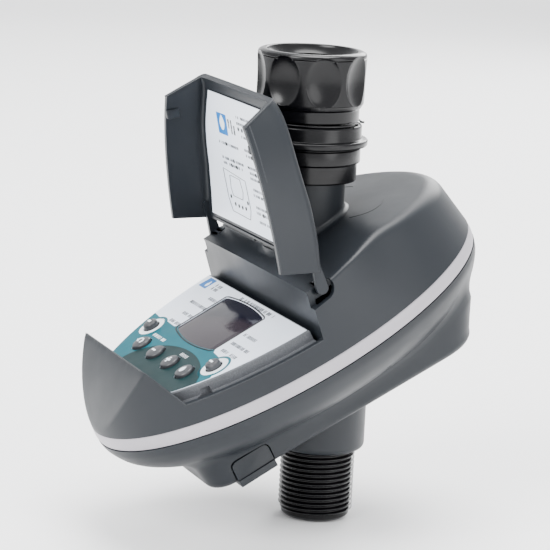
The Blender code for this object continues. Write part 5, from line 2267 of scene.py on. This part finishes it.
    def build_print(self) -> None:
        """Text rows, bullets, the little panel drawing and the badge."""
        rows = [(-25.0, -8.0, -41.6), (-25.0, -6.0, -35.9), (-24.6, -8.0, -33.9),
                (-5.0, 14.0, -53.4), (-5.0, 12.0, -51.2), (-2.0, 20.0, -46.8), (-1.6, 20.0, -42.2),
                (-1.6, 16.0, -40.2), (-1.4, 22.0, -36.0), (-1.4, 20.0, -34.0), (-1.2, 14.0, -32.0),
                (-0.6, 22.0, -28.0), (-0.6, 18.0, -26.0), (0.0, 22.0, -21.8), (0.0, 19.0, -19.8),
                (2.0, 20.0, -16.8)]
        settle(self.text(rows, 7), "lid_print", "ink_dark", Body.LID, Slot.LABEL)
        heading = [(-13.2, -8.4, -47.2), (-13.2, -8.4, -48.9), (-13.2, -8.4, -50.6)]
        paths = [[self.on_film(x0, s), self.on_film(x1, s)] for x0, x1, s in heading]
        marks = RECIPES.glyphs.run(path_object(paths), "ink_dark", Pitch=1.7 * MM, Height=1.6 * MM,
                                   Thickness=0.03 * MM, Face=tuple(CASE_SHAPE.normal()), Seed=2)
        settle(self.open_up(marks), "lid_heading", "ink_dark", Body.LID, Slot.LABEL)
        dots = []
        spots = [(-18.6, -41.6), (-14.4, -35.9), (-17.4, -33.9), (-12.8, -33.9), (-4.2, -49.2), (-1.0, -49.2),
                 (4.0, -40.2), (4.6, -34.0), (13.0, -34.0), (10.4, -26.0), (14.4, -21.8), (6.0, -19.8),
                 (-23.0, -21.6), (-19.6, -19.4), (-16.4, -19.2), (-13.2, -19.2), (-10.0, -19.4),
                 (-7.6, -21.8)]
        for x, s in spots:
            dots.append(self.patch(circle(x, s, 0.72, 18), 0.3))
        settle(self.open_up(joined(dots)), "lid_bullets", "ink_dark", Body.LID, Slot.LABEL)
        sketch = [[(-27.0, -31.4), (-7.4, -29.8), (-5.6, -19.6), (-6.6, -16.0), (-22.6, -16.4),
                   (-25.6, -21.0)],
                  [(-21.6, -29.6), (-12.6, -29.4), (-11.0, -25.0), (-12.0, -22.2), (-20.6, -22.2),
                   (-22.0, -25.0)]]
        lines = [[self.on_film(x, s, 0.28) for x, s in outline] for outline in sketch]
        drawing = self.open_up(bead(lines, 0.1, "ink_dark", ring=True, sides=6))
        settle(drawing, "lid_sketch", "ink_dark", Body.LID, Slot.LABEL)
        badge = self.patch([(-23.8, -52.6), (-23.4, -45.0), (-15.0, -45.0), (-15.0, -52.6)], 0.26)
        settle(self.open_up(badge), "lid_badge", "ink_blue", Body.LID, Slot.LABEL)
        drop = []
        for k in range(28):
            a = 2 * math.pi * k / 28
            pinch = 1.0 if math.cos(a) > 0.0 else 1.0 - 0.7 * abs(math.cos(a)) ** 1.5
            drop.append((-19.2 + 2.2 * math.sin(a) * pinch, -49.4 + 2.8 * math.cos(a)))
        settle(self.open_up(self.patch(drop, 0.3)), "lid_badge_drop", "ink_white", Body.LID, Slot.LABEL)

    def build(self) -> None:
        """Build and place every piece."""
        settle(self.build_cover(), "lid_cover", "case_satin", Body.LID, Slot.CASE, "lid")
        settle(self.build_edges(), "lid_edges", "case_edge_texture_and_highlight", Body.LID, Slot.CASE)
        settle(self.build_catches(), "lid_catches", "case_satin", Body.LID, Slot.CASE)
        settle(self.build_film(), "lid_film", "film_white", Body.LID, Slot.LABEL, "lid_label")
        self.build_print()


CASE_LIP = UpperCase.lip_foot


@dataclass
class Outlet:
    """The threaded outlet pipe under the boss."""

    crest: float = 13.22
    depth: float = 1.15
    pitch: float = 1.814
    top: float = -141.0
    end: float = -166.5
    rim: float = 12.1
    bore: float = 9.2
    axis_y: float = 10.12

    def build(self) -> None:
        """Build and place the thread and the pipe inside it."""
        length = self.top - self.end
        seed = path_object([[Vector((0, 0, 0)), Vector((0, 0, 1))]])
        centre = (0.0, self.axis_y * MM, (self.top + self.end) / 2 * MM)
        thread = RECIPES.thread.run(seed, "nylon_gloss", Crest_radius=self.crest * MM, Depth=self.depth * MM,
                                    Pitch=self.pitch * MM, Length=length * MM, Rim_radius=self.rim * MM,
                                    Plain_end=1.9 * MM, Centre=centre)
        origin = Vector((0, self.axis_y, 0))
        bore = rod(self.bore, self.end - 3.0, self.top + 3.0, origin, seg=72)
        combine(thread, [("DIFFERENCE", bore)], 50.0)
        settle(thread, "outlet_thread", "nylon_gloss", Body.CASE, Slot.FITTING, "outlet_nipple")
        pipe = eased([(9.2, self.top + 0.2), (11.3, self.top + 0.2), (11.3, -122.4), (9.2, -122.4)], 0.3)
        settle(lathe("tool", pipe, origin=origin, seg=72), "outlet_pipe", "nylon_gloss", Body.CASE,
               Slot.FITTING)


@dataclass
class Internals:
    """Finishes for the frame's own pieces that keep their shape."""

    finishes: tuple[tuple[str, str], ...] = (
        ("hose_washer", "rubber_black"), ("filter_screen", "strainer_weave"),
        ("inlet_o_ring", "rubber_black"),
        ("case_seal", "rubber_black"), ("display_module", "module_frame"), ("circuit_board", "board_lacquer"),
        ("board_screw_1", "steel_bright"), ("board_screw_2", "steel_bright"), ("keypad_mat", "rubber_black"),
        ("hinge_pin_right", "steel_bright"), ("hinge_pin_left", "steel_bright"), ("valve_body", "nylon_matt"),
        ("diaphragm", "rubber_black"), ("diaphragm_spring", "steel_bright"), ("valve_bonnet", "nylon_matt"),
        ("solenoid_coil", "coil_epoxy"), ("plunger", "steel_bright"), ("plunger_spring", "steel_bright"),
        ("outlet_o_ring", "rubber_black"), ("battery_cell_1", "cell_wrap"), ("battery_cell_2", "cell_wrap"),
        ("battery_contact_right", "steel_bright"), ("battery_contact_left", "steel_bright"),
        ("door_seal", "rubber_black"))

    def build(self) -> None:
        """Dress every kept node, and give every other node the case finish."""
        for node, finish in self.finishes:
            dress(frame["nodes"][node], finish)
            LOG.info("%s kept, %s", node, finish)
        kept = {node for node, _ in self.finishes}
        for node, obj in frame["nodes"].items():
            if node not in kept:
                dress(obj, "case_satin")


@dataclass(frozen=True)
class Viewpoint:
    """Where the camera stands, from the fitted view of the object."""

    azimuth: float = 66.5551
    elevation: float = 11.6851
    roll: float = 2.8984
    distance: float = 913.5
    lens: float = 170.88
    sideways: float = -9.039
    height: float = -79.90

    def place(self) -> None:
        """Add the camera and make it the scene's own."""
        az, el, roll = (math.radians(v) for v in (self.azimuth, self.elevation, self.roll))
        back = Vector((math.sin(az) * math.cos(el), -math.cos(az) * math.cos(el), math.sin(el)))
        right = Vector((math.cos(az), math.sin(az), 0.0))
        up = back.cross(right)
        camera = bpy.data.cameras.new("view")
        camera.sensor_width = 36.0
        camera.lens = self.lens
        camera.clip_end = 50.0
        obj = bpy.data.objects.new("view", camera)
        bpy.context.scene.collection.objects.link(obj)
        x_axis = right * math.cos(roll) + up * math.sin(roll)
        y_axis = up * math.cos(roll) - right * math.sin(roll)
        turn = Matrix((x_axis, y_axis, back)).transposed().to_4x4()
        spot = (Vector((0.0, 0.0, self.height)) + right * self.sideways + back * self.distance) * MM
        obj.matrix_world = Matrix.Translation(spot) @ turn
        bpy.context.scene.camera = obj


@dataclass
class Studio:
    """Pale floor, soft lights and the camera."""

    view: Viewpoint = Viewpoint()
    floor_z: float = -0.1672
    lights: tuple[tuple[str, tuple[float, float, float], float, float], ...] = (
        ("key_left", (0.55, -1.25, 0.85), 0.9, 30.0), ("fill_right", (1.35, 0.75, 0.35), 1.1, 12.0),
        ("top_soft", (-0.15, 0.15, 1.30), 1.0, 38.0), ("back_rim", (-1.0, 0.9, 0.6), 0.8, 16.0))

    def build_floor(self) -> None:
        """A wide floor that sweeps up behind the object."""
        bm = bmesh.new()
        rows = []
        away = math.radians(self.view.azimuth)
        direction = Vector((-math.sin(away), math.cos(away), 0))
        side = Vector((-direction.y, direction.x, 0))
        profile = [(-3.0, 0.0), (1.6, 0.0)]
        for k in range(1, 13):
            a = math.radians(90.0 * k / 12)
            profile.append((1.6 + 0.9 * math.sin(a), 0.9 * (1.0 - math.cos(a))))
        profile.append((2.5, 4.0))
        for along, rise in profile:
            middle = direction * along + UP * (self.floor_z + rise)
            rows.append([bm.verts.new(middle + side * w) for w in (-5.0, 5.0)])
        for low, high in zip(rows, rows[1:]):
            bm.faces.new((low[0], low[1], high[1], high[0]))
        mesh = bpy.data.meshes.new("studio_floor")
        bm.to_mesh(mesh)
        bm.free()
        floor = bpy.data.objects.new("studio_floor", mesh)
        bpy.context.scene.collection.objects.link(floor)
        shade(floor, 60.0)
        dress(floor, "floor_card")

    def build(self) -> None:
        """Set up the whole studio."""
        self.view.place()
        self.build_floor()
        target = Vector((0.0, 0.0, -0.08))
        for name, spot, size, power in self.lights:
            lamp = bpy.data.lights.new(name, "AREA")
            lamp.shape = "DISK"
            lamp.size = size
            lamp.energy = power
            obj = bpy.data.objects.new(name, lamp)
            bpy.context.scene.collection.objects.link(obj)
            obj.location = spot
            obj.rotation_euler = (Vector(spot) - target).to_track_quat("Z", "Y").to_euler()
        world = bpy.data.worlds.new("studio_air")
        world.use_nodes = True
        world.node_tree.nodes["Background"].inputs[0].default_value = (0.97, 0.98, 1.0, 1.0)
        world.node_tree.nodes["Background"].inputs[1].default_value = 1.5
        bpy.context.scene.world = world


def main() -> None:
    """Build the studio and every sub-assembly."""
    logging.basicConfig(level=logging.INFO, format="%(name)s %(message)s")
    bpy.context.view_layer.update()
    Studio().build()
    Internals().build()
    for part in (InletFitting(), UpperCase(), TrimBand(), LowerCase(), BatteryDoor(), ControlPanel(), Lid(),
                 Outlet()):
        part.build()
        LOG.info("%s built", type(part).__name__)


if __name__ == "__main__":
    main()
